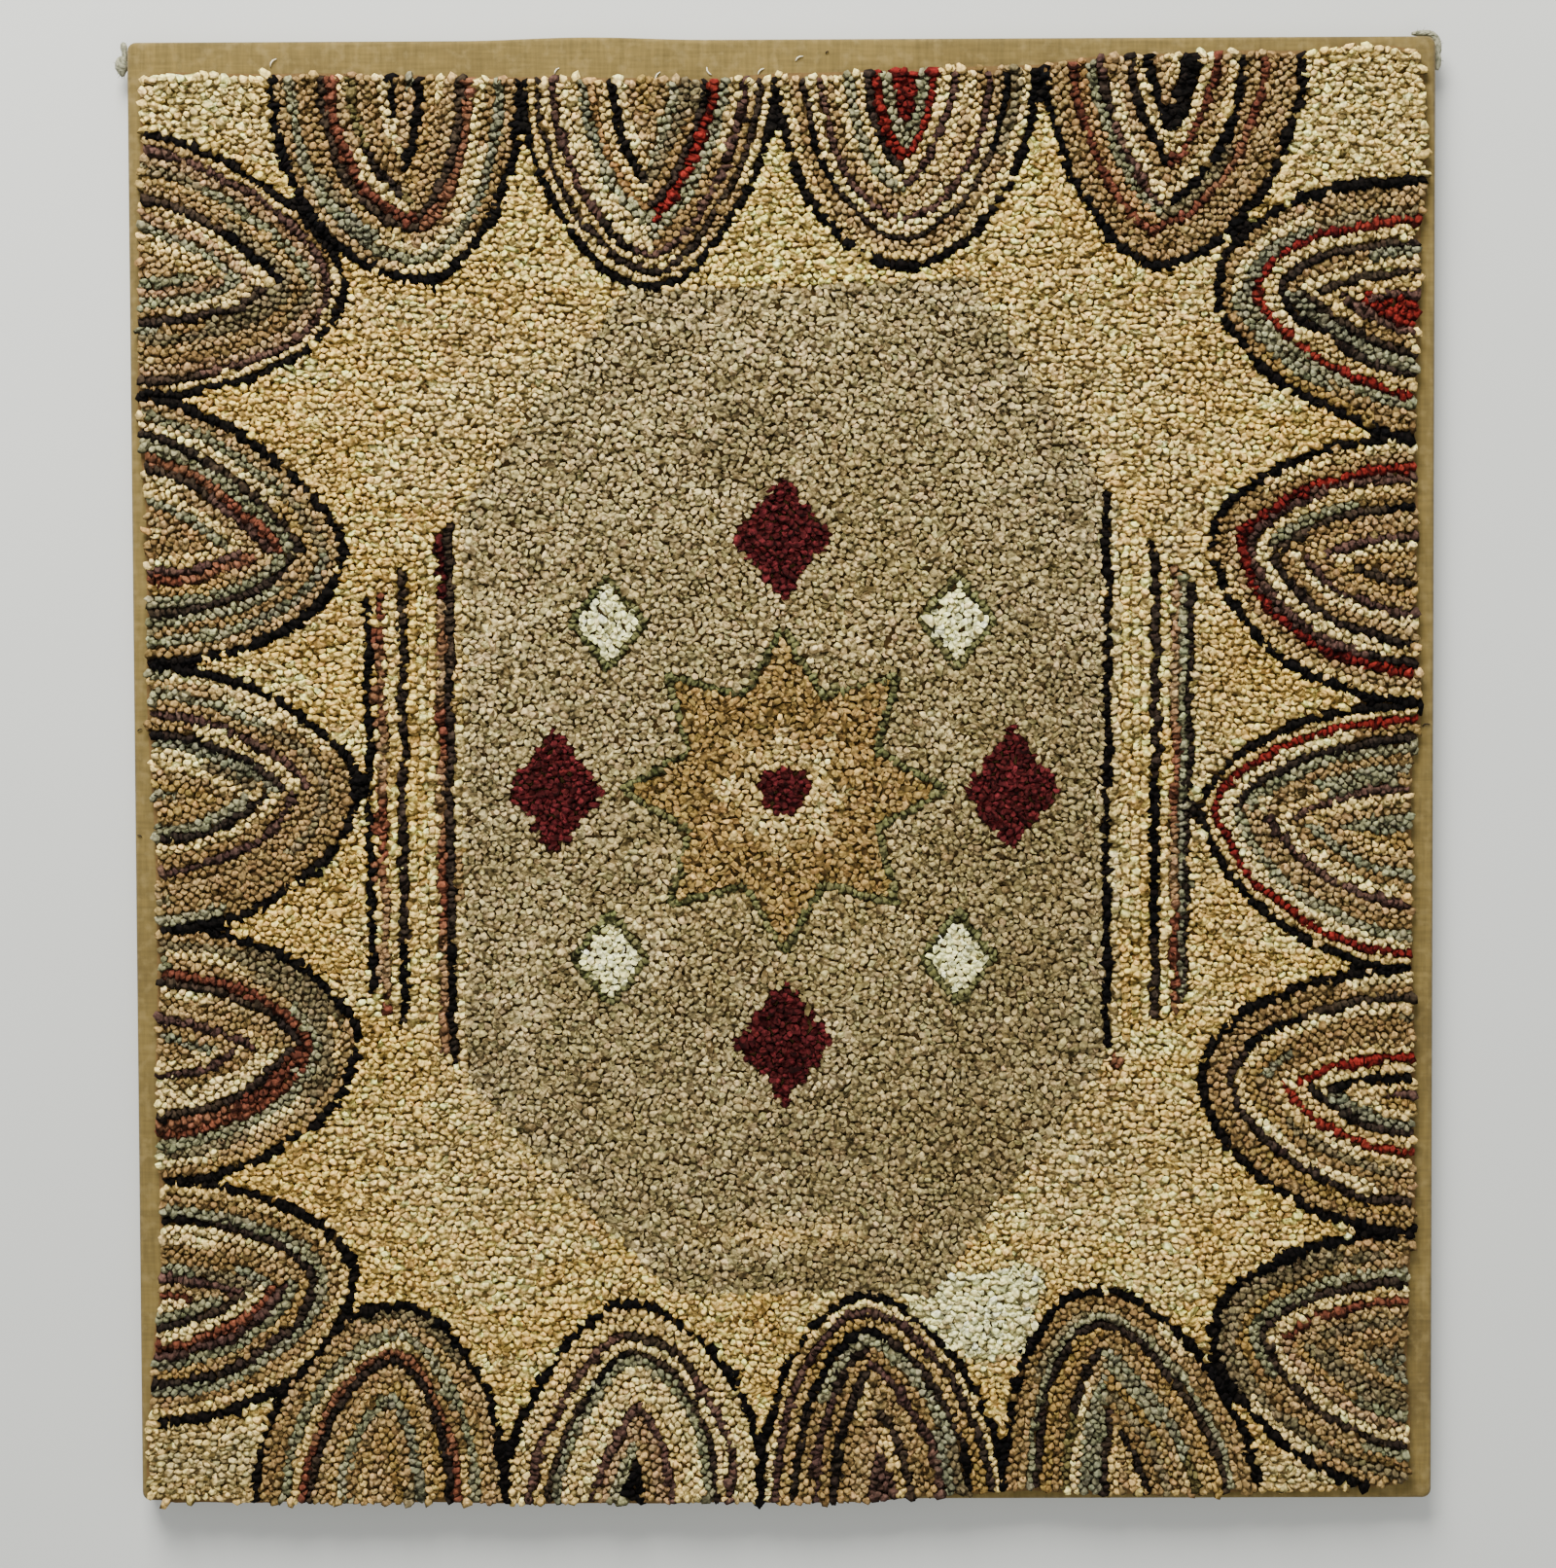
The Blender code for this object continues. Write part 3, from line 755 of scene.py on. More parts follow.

# %% [markdown]
# One loop is a puffed fold of rag. Five listed versions, each a circle raised once and
# closed by a poked cap, are each crumpled three ways. They stay at eighteen faces, because
# there are tens of thousands of them.

# %% Loop shapes
LOOP_SIDES = 6
LOOP_SPREAD = 1.2
LOOP_SHAPES = (
    {"shoulder": 0.94, "scale": (0.94, 0.90), "lean": (0.04, 0.06)},
    {"shoulder": 0.91, "scale": (0.98, 0.84), "lean": (-0.08, 0.04)},
    {"shoulder": 0.97, "scale": (0.88, 0.94), "lean": (0.08, -0.06)},
    {"shoulder": 0.93, "scale": (0.96, 0.96), "lean": (-0.04, -0.08)},
    {"shoulder": 0.95, "scale": (0.90, 0.82), "lean": (0.00, 0.04)},
)


def loop_shape(shape, number):
    """One loop, two units wide and long and one unit tall: its points and its triangles."""
    wobble = np.random.default_rng(100 + number)
    bm = bmesh.new()
    bmesh.ops.create_circle(bm, cap_ends=True, radius=LOOP_SPREAD, segments=LOOP_SIDES)
    foot = list(bm.faces)[0]
    raised = bmesh.ops.extrude_face_region(bm, geom=[foot])["geom"]
    bmesh.ops.delete(bm, geom=[foot], context="FACES_ONLY")
    top = next(g for g in raised if isinstance(g, bmesh.types.BMFace))
    bmesh.ops.scale(bm, verts=top.verts, vec=(*shape["scale"], 1))
    bmesh.ops.translate(bm, verts=top.verts, vec=(*shape["lean"], shape["shoulder"]))
    cap = bmesh.ops.poke(bm, faces=[top])["verts"]
    bmesh.ops.translate(bm, verts=cap, vec=(0, 0, 1 - shape["shoulder"]))
    for vert in bm.verts:
        rough = 0.14 if vert.co.z < 0.1 else 0.17
        vert.co += Vector(wobble.normal(0, rough, 3) * (1, 1, 0.45))
    bmesh.ops.triangulate(bm, faces=bm.faces)
    bmesh.ops.recalc_face_normals(bm, faces=bm.faces)
    if sum(f.normal.z for f in bm.faces) < 0:
        bmesh.ops.reverse_faces(bm, faces=bm.faces)
    bm.verts.index_update()
    verts = np.array([v.co for v in bm.verts])
    faces = np.array([[v.index for v in f.verts] for f in bm.faces])
    bm.free()
    return verts, faces


SHAPES = [loop_shape(LOOP_SHAPES[n % len(LOOP_SHAPES)], n) for n in range(3 * len(LOOP_SHAPES))]
print("faces in a loop:", len(SHAPES[0][1]))

# %% [markdown]
# The loops of one area are joined into one mesh. Each loop's shape is stretched to its size,
# turned along its row and set down on the foundation, all at once with array arithmetic. The
# rag's colour and how far each point is from the crease beside the next loop are kept on the
# points, for the material, which paints shade at the creases from that distance. The hook
# pulled every loop down the rug, so loops lean that way: their faces look up to the window.
# Each loop's upper side is painted lighter and its lower side darker, a painted highlight and
# painted shade for the light from above, and its painted crease shade is moved below it.

# %% Join the loops into pieces
FOOT_DEEP = 1.6
FOOT_LEVEL = rug_low.z / MM + FOOT_DEEP
# A loop's top hangs LEAN of the way down the rug, and LEAN_SHADE moves its painted crease shade
# below it. Next, each loop is painted lighter for each millimetre above its middle and darker
# below it, within limits: a painted highlight and painted shade. Rag brighter than COTTON_ABOVE
# is the newest cotton, and its painted crease shade is made lighter.
LEAN, LEAN_SHADE = 0.22, 0.16
TOP_PAINTED_LIGHT, PAINTED_LIGHT_LIMITS = 0.14, (0.62, 1.5)
COTTON_SHADE_LIFT, COTTON_ABOVE = 0.5, 0.68
TONE_SPREAD, WARM_SPREAD, LEVEL_SPREAD = 0.17, 0.03, 0.35
TILT_SPREAD, FIELD_TILT = 0.18, 1.7
TONGUE_SWELL, AREA_SWELL = 1.12, 1.18
BAKE_MAP = "OFBake"


def plan_map(mesh):
    """A plain map of the rug's plan, so that patterns and bakes lie flat on the cloth."""
    layer = mesh.uv_layers.new(name=BAKE_MAP)
    corners = np.zeros(len(mesh.loops), np.int32)
    mesh.loops.foreach_get("vertex_index", corners)
    co = np.zeros(len(mesh.vertices) * 3)
    mesh.vertices.foreach_get("co", co)
    co = co.reshape(-1, 3)[:, :2]
    low, high = co.min(0), co.max(0)
    plan = ((co - low) / (high - low).max())[corners]
    layer.data.foreach_set("uv", plan.astype(np.float32).ravel())


each = {key: np.concatenate(loops[key]) for key in ("turn", "wide", "long", "tall", "colour")}
each["x"], each["y"] = places.T
names = np.array(loops["piece"])
total = len(names)
of_field = np.char.startswith(names, "field")
of_tongue = np.char.startswith(names, "tongue")
new_cotton = each["colour"].mean(1) > COTTON_ABOVE
patchy = 0.05 * drift(each["x"], each["y"], 110, 41)
shade = np.exp(rng.normal(0, TONE_SPREAD, total) + patchy)
warm = 1 + WARM_SPREAD * rng.normal(0, 1, (total, 3))
shade = np.where(new_cotton, np.maximum(shade, 1), shade)
each["colour"] = np.clip(each["colour"] * shade[:, None] * warm, 0.002, 0.98)
swell = swell * np.where(of_tongue, TONGUE_SWELL, AREA_SWELL)
each["wide"], each["long"] = each["wide"] * swell, each["long"] * swell
tilt = rng.normal(0, TILT_SPREAD, (total, 2)) * np.where(of_field, FIELD_TILT, 1.0)[:, None]
lumps = LEVEL_SPREAD * drift(each["x"], each["y"], 45, 43)
level = lumps + of_field * rng.normal(0, LEVEL_SPREAD, total)
kind = rng.integers(0, len(SHAPES), total)
loop_pieces = []
for name in sorted(set(names)):
    co, tris, colours, start = [], [], [], 0
    for number, (verts, faces) in enumerate(SHAPES):
        own = np.flatnonzero((names == name) & (kind == number))
        size = np.stack([each["long"][own] / 2, each["wide"][own] / 2, each["tall"][own]], 1)
        local = verts[None] * size[:, None]
        local[..., 2] += (local[..., :2] * tilt[own][:, None]).sum(2) * verts[None, :, 2]
        cos, sin = np.cos(each["turn"][own])[:, None], np.sin(each["turn"][own])[:, None]
        x = local[..., 0] * cos - local[..., 1] * sin + each["x"][own][:, None]
        y = local[..., 0] * sin + local[..., 1] * cos + each["y"][own][:, None]
        z = local[..., 2] + FOOT_LEVEL
        z += (level[own][:, None] - LEAN * (y - each["y"][own][:, None])) * verts[None, :, 2]
        co.append(np.stack([x, y, z], 2).reshape(-1, 3))
        offsets = start + len(verts) * np.arange(len(own))[:, None, None]
        tris.append((faces[None] + offsets).reshape(-1, 3))
        start += len(verts) * len(own)
        spot = np.stack([x, y], 2)
        above = y - each["y"][own][:, None]
        # Painted highlight on each loop's upper side and painted shade on its lower side.
        painted_light = np.clip(1 + TOP_PAINTED_LIGHT * above, *PAINTED_LIGHT_LIMITS)
        tone = np.clip(each["colour"][own][:, None] * painted_light[..., None], 0, 0.98)
        to_own = np.linalg.norm(spot - places[own][:, None], axis=2)
        to_next = np.linalg.norm(spot[:, :, None] - places[near[own]][:, None], axis=3).min(2)
        # Crease distance for the material's painted crease shade, moved below each loop by LEAN_SHADE.
        crease = (to_next - to_own) / 2 + LEAN_SHADE * above
        # The newest cotton gets lighter painted crease shade.
        crease = (crease + COTTON_SHADE_LIFT * new_cotton[own][:, None])[..., None]
        colours.append(np.concatenate([tone, crease], 2).reshape(-1, 4))
    co, tris, colours = np.concatenate(co) * MM, np.concatenate(tris), np.concatenate(colours)
    mesh = bpy.data.meshes.new(name)
    mesh.vertices.add(len(co))
    mesh.vertices.foreach_set("co", co.astype(np.float32).ravel())
    mesh.loops.add(tris.size)
    mesh.loops.foreach_set("vertex_index", tris.astype(np.int32).ravel())
    mesh.polygons.add(len(tris))
    mesh.polygons.foreach_set("loop_start", np.arange(0, tris.size, 3, dtype=np.int32))
    mesh.update(calc_edges=True)
    if name.startswith("field"):
        mesh.shade_flat()
    else:
        mesh.shade_smooth()
    rag = mesh.attributes.new("rag", "FLOAT_COLOR", "POINT")
    rag.data.foreach_set("color", colours.astype(np.float32).ravel())
    plan_map(mesh)
    piece = bpy.data.objects.new(name, mesh)
    bpy.context.scene.collection.objects.link(piece)
    loop_pieces.append(piece)
    print(name, "triangles:", len(tris))
print("pile triangles:", sum(len(p.data.polygons) for p in loop_pieces))

# %% [markdown]
# Wool and cotton rag is dull and soft. Its strips are woven, so close up there is a faint
# grain. The creases between the loops are painted dark, as painted shade and a century of dust.
# The point colour gives the rag, its fourth value how far the nearest crease is, and a fine noise
# roughens the surface.

# %% Rag pile material
pile_material, pile_shader = new_material("hooked_wool_and_cotton_rag", 0.95)
pile_shader.inputs["Specular IOR Level"].default_value = 0.08
where = add_node(pile_material, "ShaderNodeTexCoord")
rag = add_node(pile_material, "ShaderNodeAttribute", {"attribute_name": "rag"})
grain = add_node(
    pile_material, "ShaderNodeTexNoise", Vector=where.outputs["Object"],
    Scale=520.0, Detail=2.0, Roughness=0.6,
)
height = add_node(pile_material, "ShaderNodeSeparateXYZ", Vector=where.outputs["Object"]).outputs["Z"]
# Painted shade: points low between the loops are darkened towards the crease colour.
sunk = add_node(pile_material, "ShaderNodeMapRange", Value=height, From_Min=0.0255, From_Max=0.0285)
crease = add_node(
    pile_material, "ShaderNodeMapRange", {"interpolation_type": "SMOOTHSTEP"}, Value=rag.outputs["Alpha"],
    From_Min=-0.05, From_Max=0.4,
)
# The painted crease shade is uneven: dark at some creases, and so light at others that two loops look like one.
uneven = add_node(
    pile_material, "ShaderNodeTexNoise", Vector=where.outputs["Object"], Scale=190.0, Detail=0.0,
)
less_crease_shade = add_node(
    pile_material, "ShaderNodeMapRange", Value=uneven.outputs["Fac"],
    From_Min=0.42, From_Max=0.68, To_Max=0.7,
)
softened = add_node(
    pile_material, "ShaderNodeMath", {"operation": "MAXIMUM"},
    _0=crease.outputs["Result"], _1=less_crease_shade.outputs["Result"],
)
unshaded_share = add_node(
    pile_material, "ShaderNodeMath", {"operation": "MULTIPLY"},
    _0=sunk.outputs["Result"], _1=softened.outputs[0],
)
# Painted shade: the rag's colour darkened at creases and low points.
crease_shade_colour = add_node(
    pile_material, "ShaderNodeVectorMath", {"operation": "MULTIPLY"},
    _0=rag.outputs["Color"], _1=(0.19, 0.175, 0.155),
)
crease_shaded = add_node(
    pile_material, "ShaderNodeMix", {"data_type": "RGBA"}, _0=unshaded_share.outputs[0],
    _6=crease_shade_colour.outputs[0], _7=rag.outputs["Color"],
)
# The strip's own pleats are small cells about three millimetres across, raised by a bump, with painted shade at
# their edges and a slightly lighter painted middle.
fold = add_node(pile_material, "ShaderNodeTexVoronoi", Vector=where.outputs["Object"], Scale=300.0)
grainy = add_node(
    pile_material, "ShaderNodeMapRange", Value=grain.outputs["Fac"],
    From_Min=0.25, From_Max=0.75, To_Min=0.82, To_Max=1.22,
)
pleat_shade = add_node(
    pile_material, "ShaderNodeMapRange", Value=fold.outputs["Distance"],
    From_Min=0.3, From_Max=0.8, To_Min=1.1, To_Max=0.6,
)
both = add_node(
    pile_material, "ShaderNodeMath", {"operation": "MULTIPLY"},
    _0=grainy.outputs["Result"], _1=pleat_shade.outputs["Result"],
)
shaded = add_node(
    pile_material, "ShaderNodeVectorMath", {"operation": "SCALE"},
    _0=crease_shaded.outputs[2], Scale=both.outputs[0],
)
pile_material.node_tree.links.new(shaded.outputs[0], pile_shader.inputs["Base Color"])
folded = add_node(
    pile_material, "ShaderNodeBump", {"invert": True},
    Strength=1.0, Distance=0.0015, Height=fold.outputs["Distance"],
)
rough = add_node(
    pile_material, "ShaderNodeBump", Strength=0.7, Distance=0.0006, Height=grain.outputs["Fac"],
    Normal=folded.outputs["Normal"],
)
pile_material.node_tree.links.new(rough.outputs["Normal"], pile_shader.inputs["Normal"])
for piece in loop_pieces:
    give(piece, pile_material)
    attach(piece, "root")

# %% [markdown]
# Under the loops is the foundation, a coarse burlap. Only dark brown slivers of it show from
# the front, and its folded edge shows from the side.

# %% Foundation cloth
burlap_material, burlap_shader = new_material("brown_burlap", 0.95)
burlap_where = add_node(burlap_material, "ShaderNodeTexCoord")
burlap_weave = add_node(
    burlap_material, "ShaderNodeTexNoise", Vector=burlap_where.outputs["Object"],
    Scale=420.0, Detail=2.0,
)
burlap_tone = add_node(
    burlap_material, "ShaderNodeMix", {"data_type": "RGBA"}, _0=burlap_weave.outputs["Fac"],
    _6=(*linear("#4a3820"), 1.0), _7=(*linear("#7a6038"), 1.0),
)
burlap_material.node_tree.links.new(burlap_tone.outputs[2], burlap_shader.inputs["Base Color"])
FOUNDATION_DEEP = 0.0021
bm = bmesh.new()
bm.from_mesh(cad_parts["hooked_rug"].data)
bmesh.ops.remove_doubles(bm, verts=bm.verts, dist=1e-5)
bmesh.ops.bisect_plane(
    bm, geom=[*bm.verts, *bm.edges, *bm.faces], plane_co=(0, 0, rug_low.z + FOUNDATION_DEEP),
    plane_no=(0, 0, 1), clear_outer=True,
)
bmesh.ops.holes_fill(bm, edges=[e for e in bm.edges if e.is_boundary])
bmesh.ops.triangulate(bm, faces=[f for f in bm.faces if len(f.verts) > 4])
bmesh.ops.recalc_face_normals(bm, faces=bm.faces)
foundation = piece_of("rug_foundation", bm)
plan_map(foundation.data)
give(foundation, burlap_material)
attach(foundation, "root")
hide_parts("hooked_rug")

# %% [markdown]
# The linen is one cloth pulled over the strainer's face and sides and turned over its back.
# A box with rounded corners gives its shape: the back is inset and opened, and cuts across
# the face give it enough points for the soft pucker at the top and the pull of the tacks.

# %% Linen cloth
linen_low, linen_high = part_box("linen_cover")
half = Vector((0.435, 0.489))
deep = linen_high.z
LINEN_THICK = 0.0012
TURNOVER = 0.032
CUT_EVERY = 0.012
PUCKER = 0.00022
PULL = {"at": -0.130, "reach": 0.085, "far": 0.0022, "edge": 0.004}
bm = bmesh.new()
bmesh.ops.create_cube(bm, size=1.0)
bmesh.ops.scale(bm, verts=bm.verts, vec=(2 * half.x, 2 * half.y, deep))
bmesh.ops.translate(bm, verts=bm.verts, vec=(0, 0, deep / 2))
upright = [e for e in bm.edges if abs(e.verts[0].co.z - e.verts[1].co.z) > deep / 2]
bmesh.ops.bevel(bm, geom=upright, offset=0.006, segments=5, affect="EDGES", profile=0.5, material=-1)
back = min(bm.faces, key=lambda f: f.calc_center_median().z)
bmesh.ops.inset_region(bm, faces=[back], thickness=TURNOVER)
middles = {f: f.calc_center_median() for f in bm.faces}
opening = min(bm.faces, key=lambda f: middles[f].xy.length + 100 * middles[f].z)
bmesh.ops.delete(bm, geom=[opening], context="FACES")
arris = [e for e in bm.edges if not e.is_boundary and len(e.link_faces) == 2
         and abs(e.link_faces[0].normal.dot(e.link_faces[1].normal)) < 0.1
         and abs(e.verts[0].co.z - e.verts[1].co.z) < 1e-6]
bmesh.ops.bevel(bm, geom=arris, offset=0.003, segments=3, affect="EDGES", profile=0.5, material=-1)
for reach, normal in ((half.x, Vector((1, 0, 0))), (half.y, Vector((0, 1, 0)))):
    for step in np.arange(-reach + CUT_EVERY, reach, CUT_EVERY):
        everything = [*bm.verts, *bm.edges, *bm.faces]
        bmesh.ops.bisect_plane(bm, geom=everything, plane_co=normal * step, plane_no=normal)
for vert in bm.verts:
    x, y, z = vert.co
    if z > deep - 0.0001:
        face_wave = PUCKER * float(drift(np.array(x / MM), np.array(y / MM), 55.0, 51))
        vert.co.z += min(face_wave, 0.0002)
    off = (x - PULL["at"]) / PULL["reach"]
    if y > half.y - PULL["edge"] and abs(off) < 1:
        pulled = math.cos(off * math.pi / 2) ** 2 * min(max(z / deep, 0.0), 1.0)
        vert.co.y += PULL["far"] * pulled
bmesh.ops.recalc_face_normals(bm, faces=bm.faces)
linen = piece_of("linen_cloth", bm)
linen.data.shade_smooth()
thickness = linen.modifiers.new("cloth_thickness", "SOLIDIFY")
thickness.thickness = LINEN_THICK
thickness.offset = -1
plan_map(linen.data)
print("linen triangles:", sum(len(p.vertices) - 2 for p in linen.data.polygons))

# %% [markdown]
# Unbleached linen is a plain weave of uneven threads. The threads are about half a millimetre
# apart, too fine to show from here, so the weave is drawn at a millimetre and a half, with
# slubs along both threads and brown stains where hands and damp have been.

# %% Linen material
THREAD = 1.5 * MM
linen_material, linen_shader = new_material("unbleached_plain_linen", 0.88, sheen=0.1)
at = add_node(linen_material, "ShaderNodeTexCoord").outputs["Object"]
WEAVE_SCALE = 1 / (THREAD * 20 / math.pi) * 6.4
threads, slubs = [], []
for bands, stretch in (("X", (34.0, 420.0, 60.0)), ("Y", (420.0, 34.0, 60.0))):
    threads.append(add_node(
        linen_material, "ShaderNodeTexWave", {"bands_direction": bands}, Vector=at,
        Scale=WEAVE_SCALE, Distortion=1.2, Detail=2.0,
    ).outputs["Fac"])
    along = add_node(linen_material, "ShaderNodeMapping", Vector=at, Scale=stretch).outputs[0]
    slubs.append(add_node(
        linen_material, "ShaderNodeTexNoise", Vector=along, Scale=1.0, Detail=2.0,
    ).outputs["Fac"])
weave = add_node(
    linen_material, "ShaderNodeMath", {"operation": "MULTIPLY"}, _0=threads[0], _1=threads[1],
)
slubs = add_node(linen_material, "ShaderNodeMath", {"operation": "ADD"}, _0=slubs[0], _1=slubs[1])
stain = add_node(linen_material, "ShaderNodeTexNoise", Vector=at, Scale=9.0, Detail=4.0, Roughness=0.6)
speck = add_node(linen_material, "ShaderNodeTexNoise", Vector=at, Scale=150.0, Detail=3.0)
# Slubs first, then stains and pale specks over them: each pattern's range, share and colour.
OVERLAYS = (
    (slubs.outputs[0], 0.5, 1.5, 1.0, "#7b6837"),
    (stain.outputs["Fac"], 0.48, 0.72, 0.7, "#493c20"),
    (speck.outputs["Fac"], 0.5, 0.72, 0.4, "#8c7a4d"),
)
tone = (*linear("#574a26"), 1.0)
for pattern, low, high, most, hex_code in OVERLAYS:
    share = add_node(
        linen_material, "ShaderNodeMapRange", Value=pattern, From_Min=low, From_Max=high, To_Max=most,
    )
    tone = add_node(
        linen_material, "ShaderNodeMix", {"data_type": "RGBA"}, _0=share.outputs["Result"],
        _6=tone, _7=(*linear(hex_code), 1.0),
    ).outputs[2]
linen_material.node_tree.links.new(tone, linen_shader.inputs["Base Color"])
linen_bump = add_node(linen_material, "ShaderNodeBump", Strength=0.5, Distance=0.0003, Height=weave.outputs[0])
linen_material.node_tree.links.new(linen_bump.outputs["Normal"], linen_shader.inputs["Normal"])
give(linen, linen_material)
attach(linen, "root")
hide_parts("linen_cover")


# %% [markdown]
# The strainer's bars are planed pine, seen only from behind. Pine's grain runs along each bar:
# wide pale bands of early wood between narrow darker ones. Two materials differ only in the
# way the grain runs.

# %% Pine bars
def pine(name, along):
    """Planed pine whose grain runs along one axis: 0 is across the rug, 1 up it."""
    material, shader = new_material(name, 0.62)
    at = add_node(material, "ShaderNodeTexCoord").outputs["Object"]
    stretch = [26.0, 26.0, 26.0]
    stretch[along] = 1.6
    mapped = add_node(material, "ShaderNodeMapping", Vector=at, Scale=stretch).outputs[0]
    drifted = add_node(material, "ShaderNodeTexNoise", Vector=mapped, Scale=1.0, Detail=3.0).outputs["Color"]
    bent = add_node(material, "ShaderNodeMix", {"data_type": "VECTOR"}, _0=0.35, _4=mapped, _5=drifted)
    rings = add_node(
        material, "ShaderNodeTexWave", {"bands_direction": "XY"[1 - along], "wave_profile": "SAW"},
        Vector=bent.outputs[1], Scale=2.4, Distortion=2.5, Detail=2.0,
    )
    tone = add_node(
        material, "ShaderNodeMix", {"data_type": "RGBA"}, _0=rings.outputs["Fac"],
        _6=(*linear("#d8b27a"), 1.0), _7=(*linear("#b98b52"), 1.0),
    )
    material.node_tree.links.new(tone.outputs[2], shader.inputs["Base Color"])
    bump = add_node(material, "ShaderNodeBump", Strength=0.25, Distance=0.0003, Height=rings.outputs["Fac"])
    material.node_tree.links.new(bump.outputs["Normal"], shader.inputs["Normal"])
    return material


across_pine, upright_pine = pine("planed_pine_across", 0), pine("planed_pine_upright", 1)
BARS = {"top": across_pine, "bottom": across_pine, "cross": across_pine,
        "left": upright_pine, "right": upright_pine}
for bar, material in BARS.items():
    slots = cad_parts[f"strainer_{bar}"].material_slots
    for slot in slots:
        slot.material = material
    print("strainer bar:", bar, "slots:", len(slots), material.name)


# %% [markdown]
# Two scraps of grey rag are caught at the upper corners: a tight knot at the left, and frayed
# cloth folded over the right. Both are bundles of thin strands. A strand starts as a small
# circle whose cap is extruded step by step along a bent path.

# %% Rag strands at the corners
def strand(bm, path, radii, sides=6):
    """A tube of rag along a path, drawn out cap by cap and closed at both ends."""
    path = [Vector(p) for p in path]
    way = (path[1] - path[0]).normalized()
    turn = way.to_track_quat("Z", "Y").to_matrix().to_4x4()
    made = bmesh.ops.create_circle(
        bm, cap_ends=True, radius=radii[0], segments=sides, matrix=Matrix.Translation(path[0]) @ turn,
    )
    cap = made["verts"][0].link_faces[0]
    for i in range(1, len(path)):
        raised = bmesh.ops.extrude_face_region(bm, geom=[cap])["geom"]
        old = cap
        cap = next(g for g in raised if isinstance(g, bmesh.types.BMFace))
        if i > 1:
            bmesh.ops.delete(bm, geom=[old], context="FACES_ONLY")
        ahead = (path[min(i + 1, len(path) - 1)] - path[i - 1]).normalized()
        here, back = Matrix.Translation(path[i - 1]), Matrix.Translation(-path[i - 1])
        bend = here @ way.rotation_difference(ahead).to_matrix().to_4x4() @ back
        bmesh.ops.transform(bm, matrix=bend, verts=cap.verts)
        grow = radii[i] / radii[i - 1]
        bmesh.ops.scale(bm, verts=cap.verts, vec=(grow,) * 3, space=back)
        bmesh.ops.translate(bm, verts=cap.verts, vec=path[i] - path[i - 1])
        way = ahead


def smooth_path(rows, steps):
    """In-between points on a soft curve through the rows of a table."""
    rows = np.array(rows, float)
    fine = np.linspace(0, len(rows) - 1, steps)
    base = np.minimum(fine.astype(int), len(rows) - 2)
    t = (fine - base)[:, None]
    padded = np.concatenate([rows[:1], rows, rows[-1:]])
    p0, p1, p2, p3 = (padded[base + k] for k in range(4))
    square, cube = 2 * p0 - 5 * p1 + 4 * p2 - p3, 3 * p1 - p0 - 3 * p2 + p3
    return 0.5 * (2 * p1 + (p2 - p0) * t + square * t ** 2 + cube * t ** 3)


# Middle line and reach of each scrap, in millimetres from the mount's corner: x, y, z, reach.
KNOT_LINE = (
    (-3.4, 0.6, 15, 1.5), (-3.2, -2, 15.5, 2.4), (-2.9, -6, 15, 1.9), (-3.2, -9, 14, 2.4),
    (-5.2, -11, 13, 4.2), (-5.6, -14, 12.5, 4.8), (-5.3, -17, 12.5, 3.6), (-5, -20.5, 12.5, 1.3),
)
FRAY_LINE = (
    (-15, 2.4, 16.5, 1.2), (-11, 2.6, 16, 2.0), (-6, 2.9, 15.5, 2.3), (-1.4, 2.2, 15, 2.3),
    (1.9, -1.3, 15, 2.4), (3, -6, 14.5, 2.5), (2.9, -11, 14, 2.1), (3.1, -16, 14, 2.4),
    (2.6, -21, 13.5, 1.2),
)
SCRAPS = (
    {"name": "corner_knot_rag", "node": "corner_knot", "line": KNOT_LINE, "corner": (-435, 489),
     "strands": 9, "turns": 2.6, "hairs": 26},
    {"name": "corner_fray_rag", "node": "corner_fray", "line": FRAY_LINE, "corner": (435, 489),
     "strands": 8, "turns": 1.2, "hairs": 40},
)
PATH_STEPS = 26
rag_material, rag_shader = new_material("frayed_grey_green_rag", 0.95, sheen=0.15)
rag_at = add_node(rag_material, "ShaderNodeTexCoord").outputs["Object"]
rag_noise = add_node(rag_material, "ShaderNodeTexNoise", Vector=rag_at, Scale=330.0, Detail=3.0)
rag_share = add_node(
    rag_material, "ShaderNodeMapRange", Value=rag_noise.outputs["Fac"], From_Min=0.35, From_Max=0.65,
)
rag_tone = add_node(
    rag_material, "ShaderNodeMix", {"data_type": "RGBA"}, _0=rag_share.outputs["Result"],
    _6=(*linear("#5c5d49"), 1.0), _7=(*linear("#9a9880"), 1.0),
)
rag_material.node_tree.links.new(rag_tone.outputs[2], rag_shader.inputs["Base Color"])
rag_bump = add_node(rag_material, "ShaderNodeBump", Strength=0.7, Distance=0.0006, Height=rag_noise.outputs["Fac"])
rag_material.node_tree.links.new(rag_bump.outputs["Normal"], rag_shader.inputs["Normal"])
twist = np.random.default_rng(61)
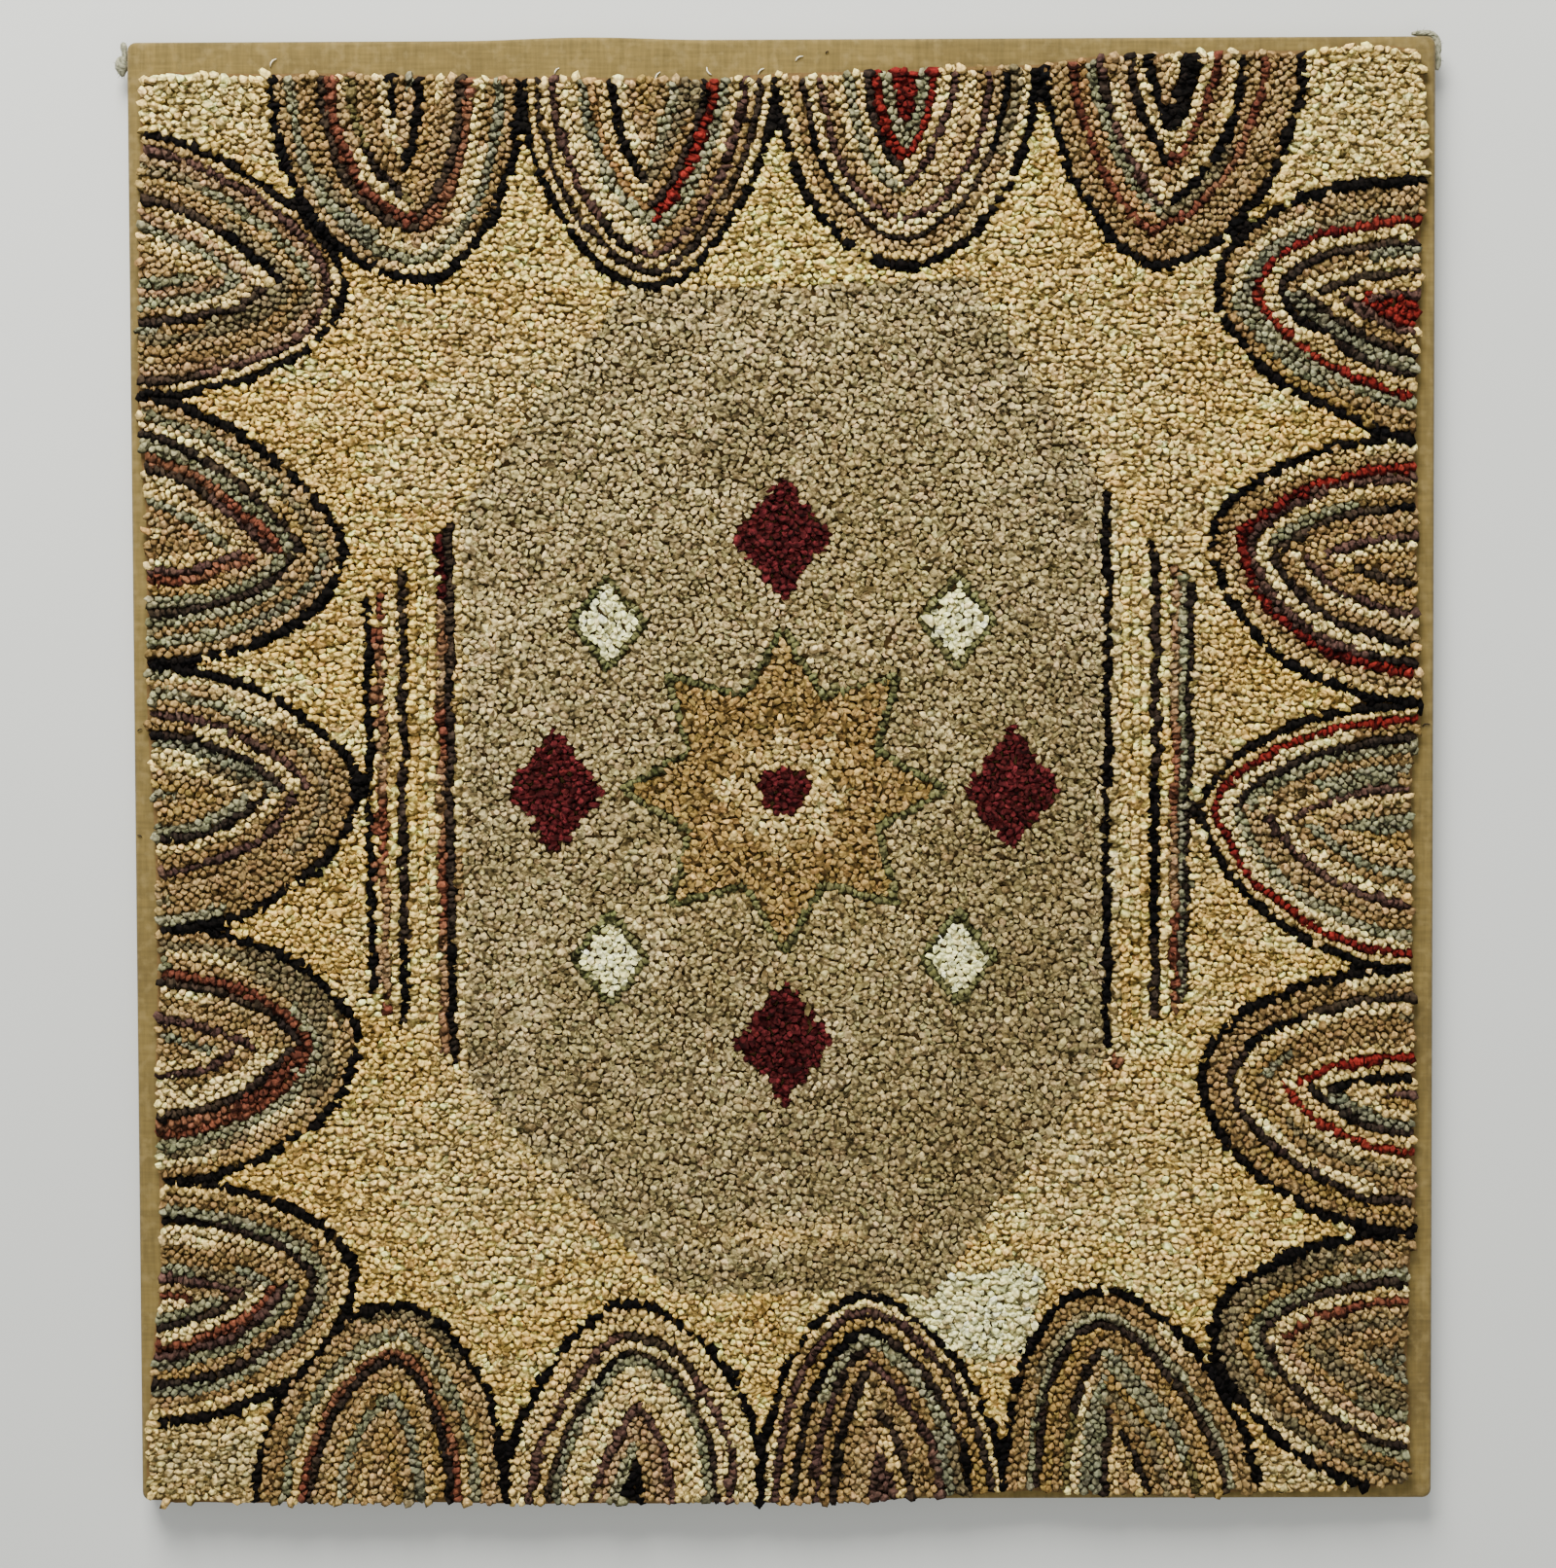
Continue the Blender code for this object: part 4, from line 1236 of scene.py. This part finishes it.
for scrap in SCRAPS:
    bm = bmesh.new()
    middle = smooth_path(scrap["line"], PATH_STEPS)
    last = PATH_STEPS - 1
    for number in range(scrap["strands"]):
        phase = 2 * math.pi * number / scrap["strands"]
        path, radii = [], []
        for i, (x, y, z, around) in enumerate(middle):
            ahead = Vector(middle[min(i + 1, last)][:3]) - Vector(middle[max(i - 1, 0)][:3])
            side = ahead.cross(Vector((0, 0, 1))).normalized()
            up = side.cross(ahead).normalized()
            angle = phase + scrap["turns"] * 2 * math.pi * i / last + twist.normal(0, 0.12)
            out = (side * math.cos(angle) + up * math.sin(angle)) * around * 0.62
            place = Vector((x, y, z)) + out
            path.append((place + Vector((*scrap["corner"], 0))) * MM)
            radii.append(around * 0.36 * twist.uniform(0.8, 1.15) * MM)
        strand(bm, path, radii)
    for _ in range(scrap["hairs"]):
        i = twist.integers(1, last)
        start = Vector(middle[i][:3])
        way = Vector(twist.normal(0, 1, 3)).normalized()
        around = middle[i][3]
        path = [
            start + way * around * s + Vector(twist.normal(0, 0.25, 3)) * (s - 0.7)
            for s in (0.7, 1.05, 1.35, 1.65)
        ]
        path = [Vector((*(p.xy + Vector(scrap["corner"])), max(p.z, 1.0))) * MM for p in path]
        strand(bm, path, [0.22 * MM, 0.20 * MM, 0.16 * MM, 0.08 * MM], sides=4)
    bmesh.ops.recalc_face_normals(bm, faces=bm.faces)
    piece = piece_of(scrap["name"], bm)
    piece.data.shade_smooth()
    give(piece, rag_material)
    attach(piece, "root")
    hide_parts(scrap["node"])
    print(scrap["name"], "faces:", len(piece.data.polygons))

# %% [markdown]
# Last come the small things: pale ends of sewing thread along the pile's upper edge, and a
# few dark threads caught on the linen.

# %% Thread ends
THREADS = (
    {"at": (-339, 472), "way": (4, 5), "tone": "pale"},
    {"at": (-83, 461), "way": (3, 6), "tone": "pale"},
    {"at": (-46, 465), "way": (-3, 5), "tone": "pale"},
    {"at": (-15, 465), "way": (4, 4), "tone": "pale"},
    {"at": (10, 474), "way": (5, 3), "tone": "pale"},
    {"at": (-150, 466), "way": (3, 4), "tone": "pale"},
    {"at": (30, 479), "way": (2, 1), "tone": "dark"},
    {"at": (427, 31), "way": (5, 1), "tone": "dark"},
    {"at": (-433, -39), "way": (3, -1), "tone": "dark"},
    {"at": (-432, 31), "way": (3, 1), "tone": "dark"},
)
for tone, hex_code in (("pale", "#efe6c8"), ("dark", "#2a221a")):
    material, shader = new_material(f"{tone}_cotton_thread", 0.9)
    at = add_node(material, "ShaderNodeTexCoord").outputs["Object"]
    fleck = add_node(material, "ShaderNodeTexNoise", Vector=at, Scale=700.0)
    mixed = add_node(
        material, "ShaderNodeMix", {"data_type": "RGBA"}, _0=fleck.outputs["Fac"],
        _6=(*[c * 0.8 for c in linear(hex_code)], 1.0), _7=(*linear(hex_code), 1.0),
    )
    material.node_tree.links.new(mixed.outputs[2], shader.inputs["Base Color"])
    bm = bmesh.new()
    for row in THREADS:
        if row["tone"] == tone:
            start = Vector((*row["at"], deep / MM + 0.5))
            way = Vector((*row["way"], 0))
            bow = Vector((-way.y, way.x, 0)) * 0.18
            arc = [(s, math.sin(s * math.pi)) for s in (0, 0.33, 0.66, 1)]
            path = [(start + way * s + bow * lift + Vector((0, 0, 0.5 * lift))) * MM for s, lift in arc]
            strand(bm, path, [0.45 * MM, 0.5 * MM, 0.45 * MM, 0.3 * MM])
    bmesh.ops.recalc_face_normals(bm, faces=bm.faces)
    piece = piece_of(f"{tone}_thread_ends", bm)
    piece.data.shade_smooth()
    give(piece, material)
    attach(piece, "root")
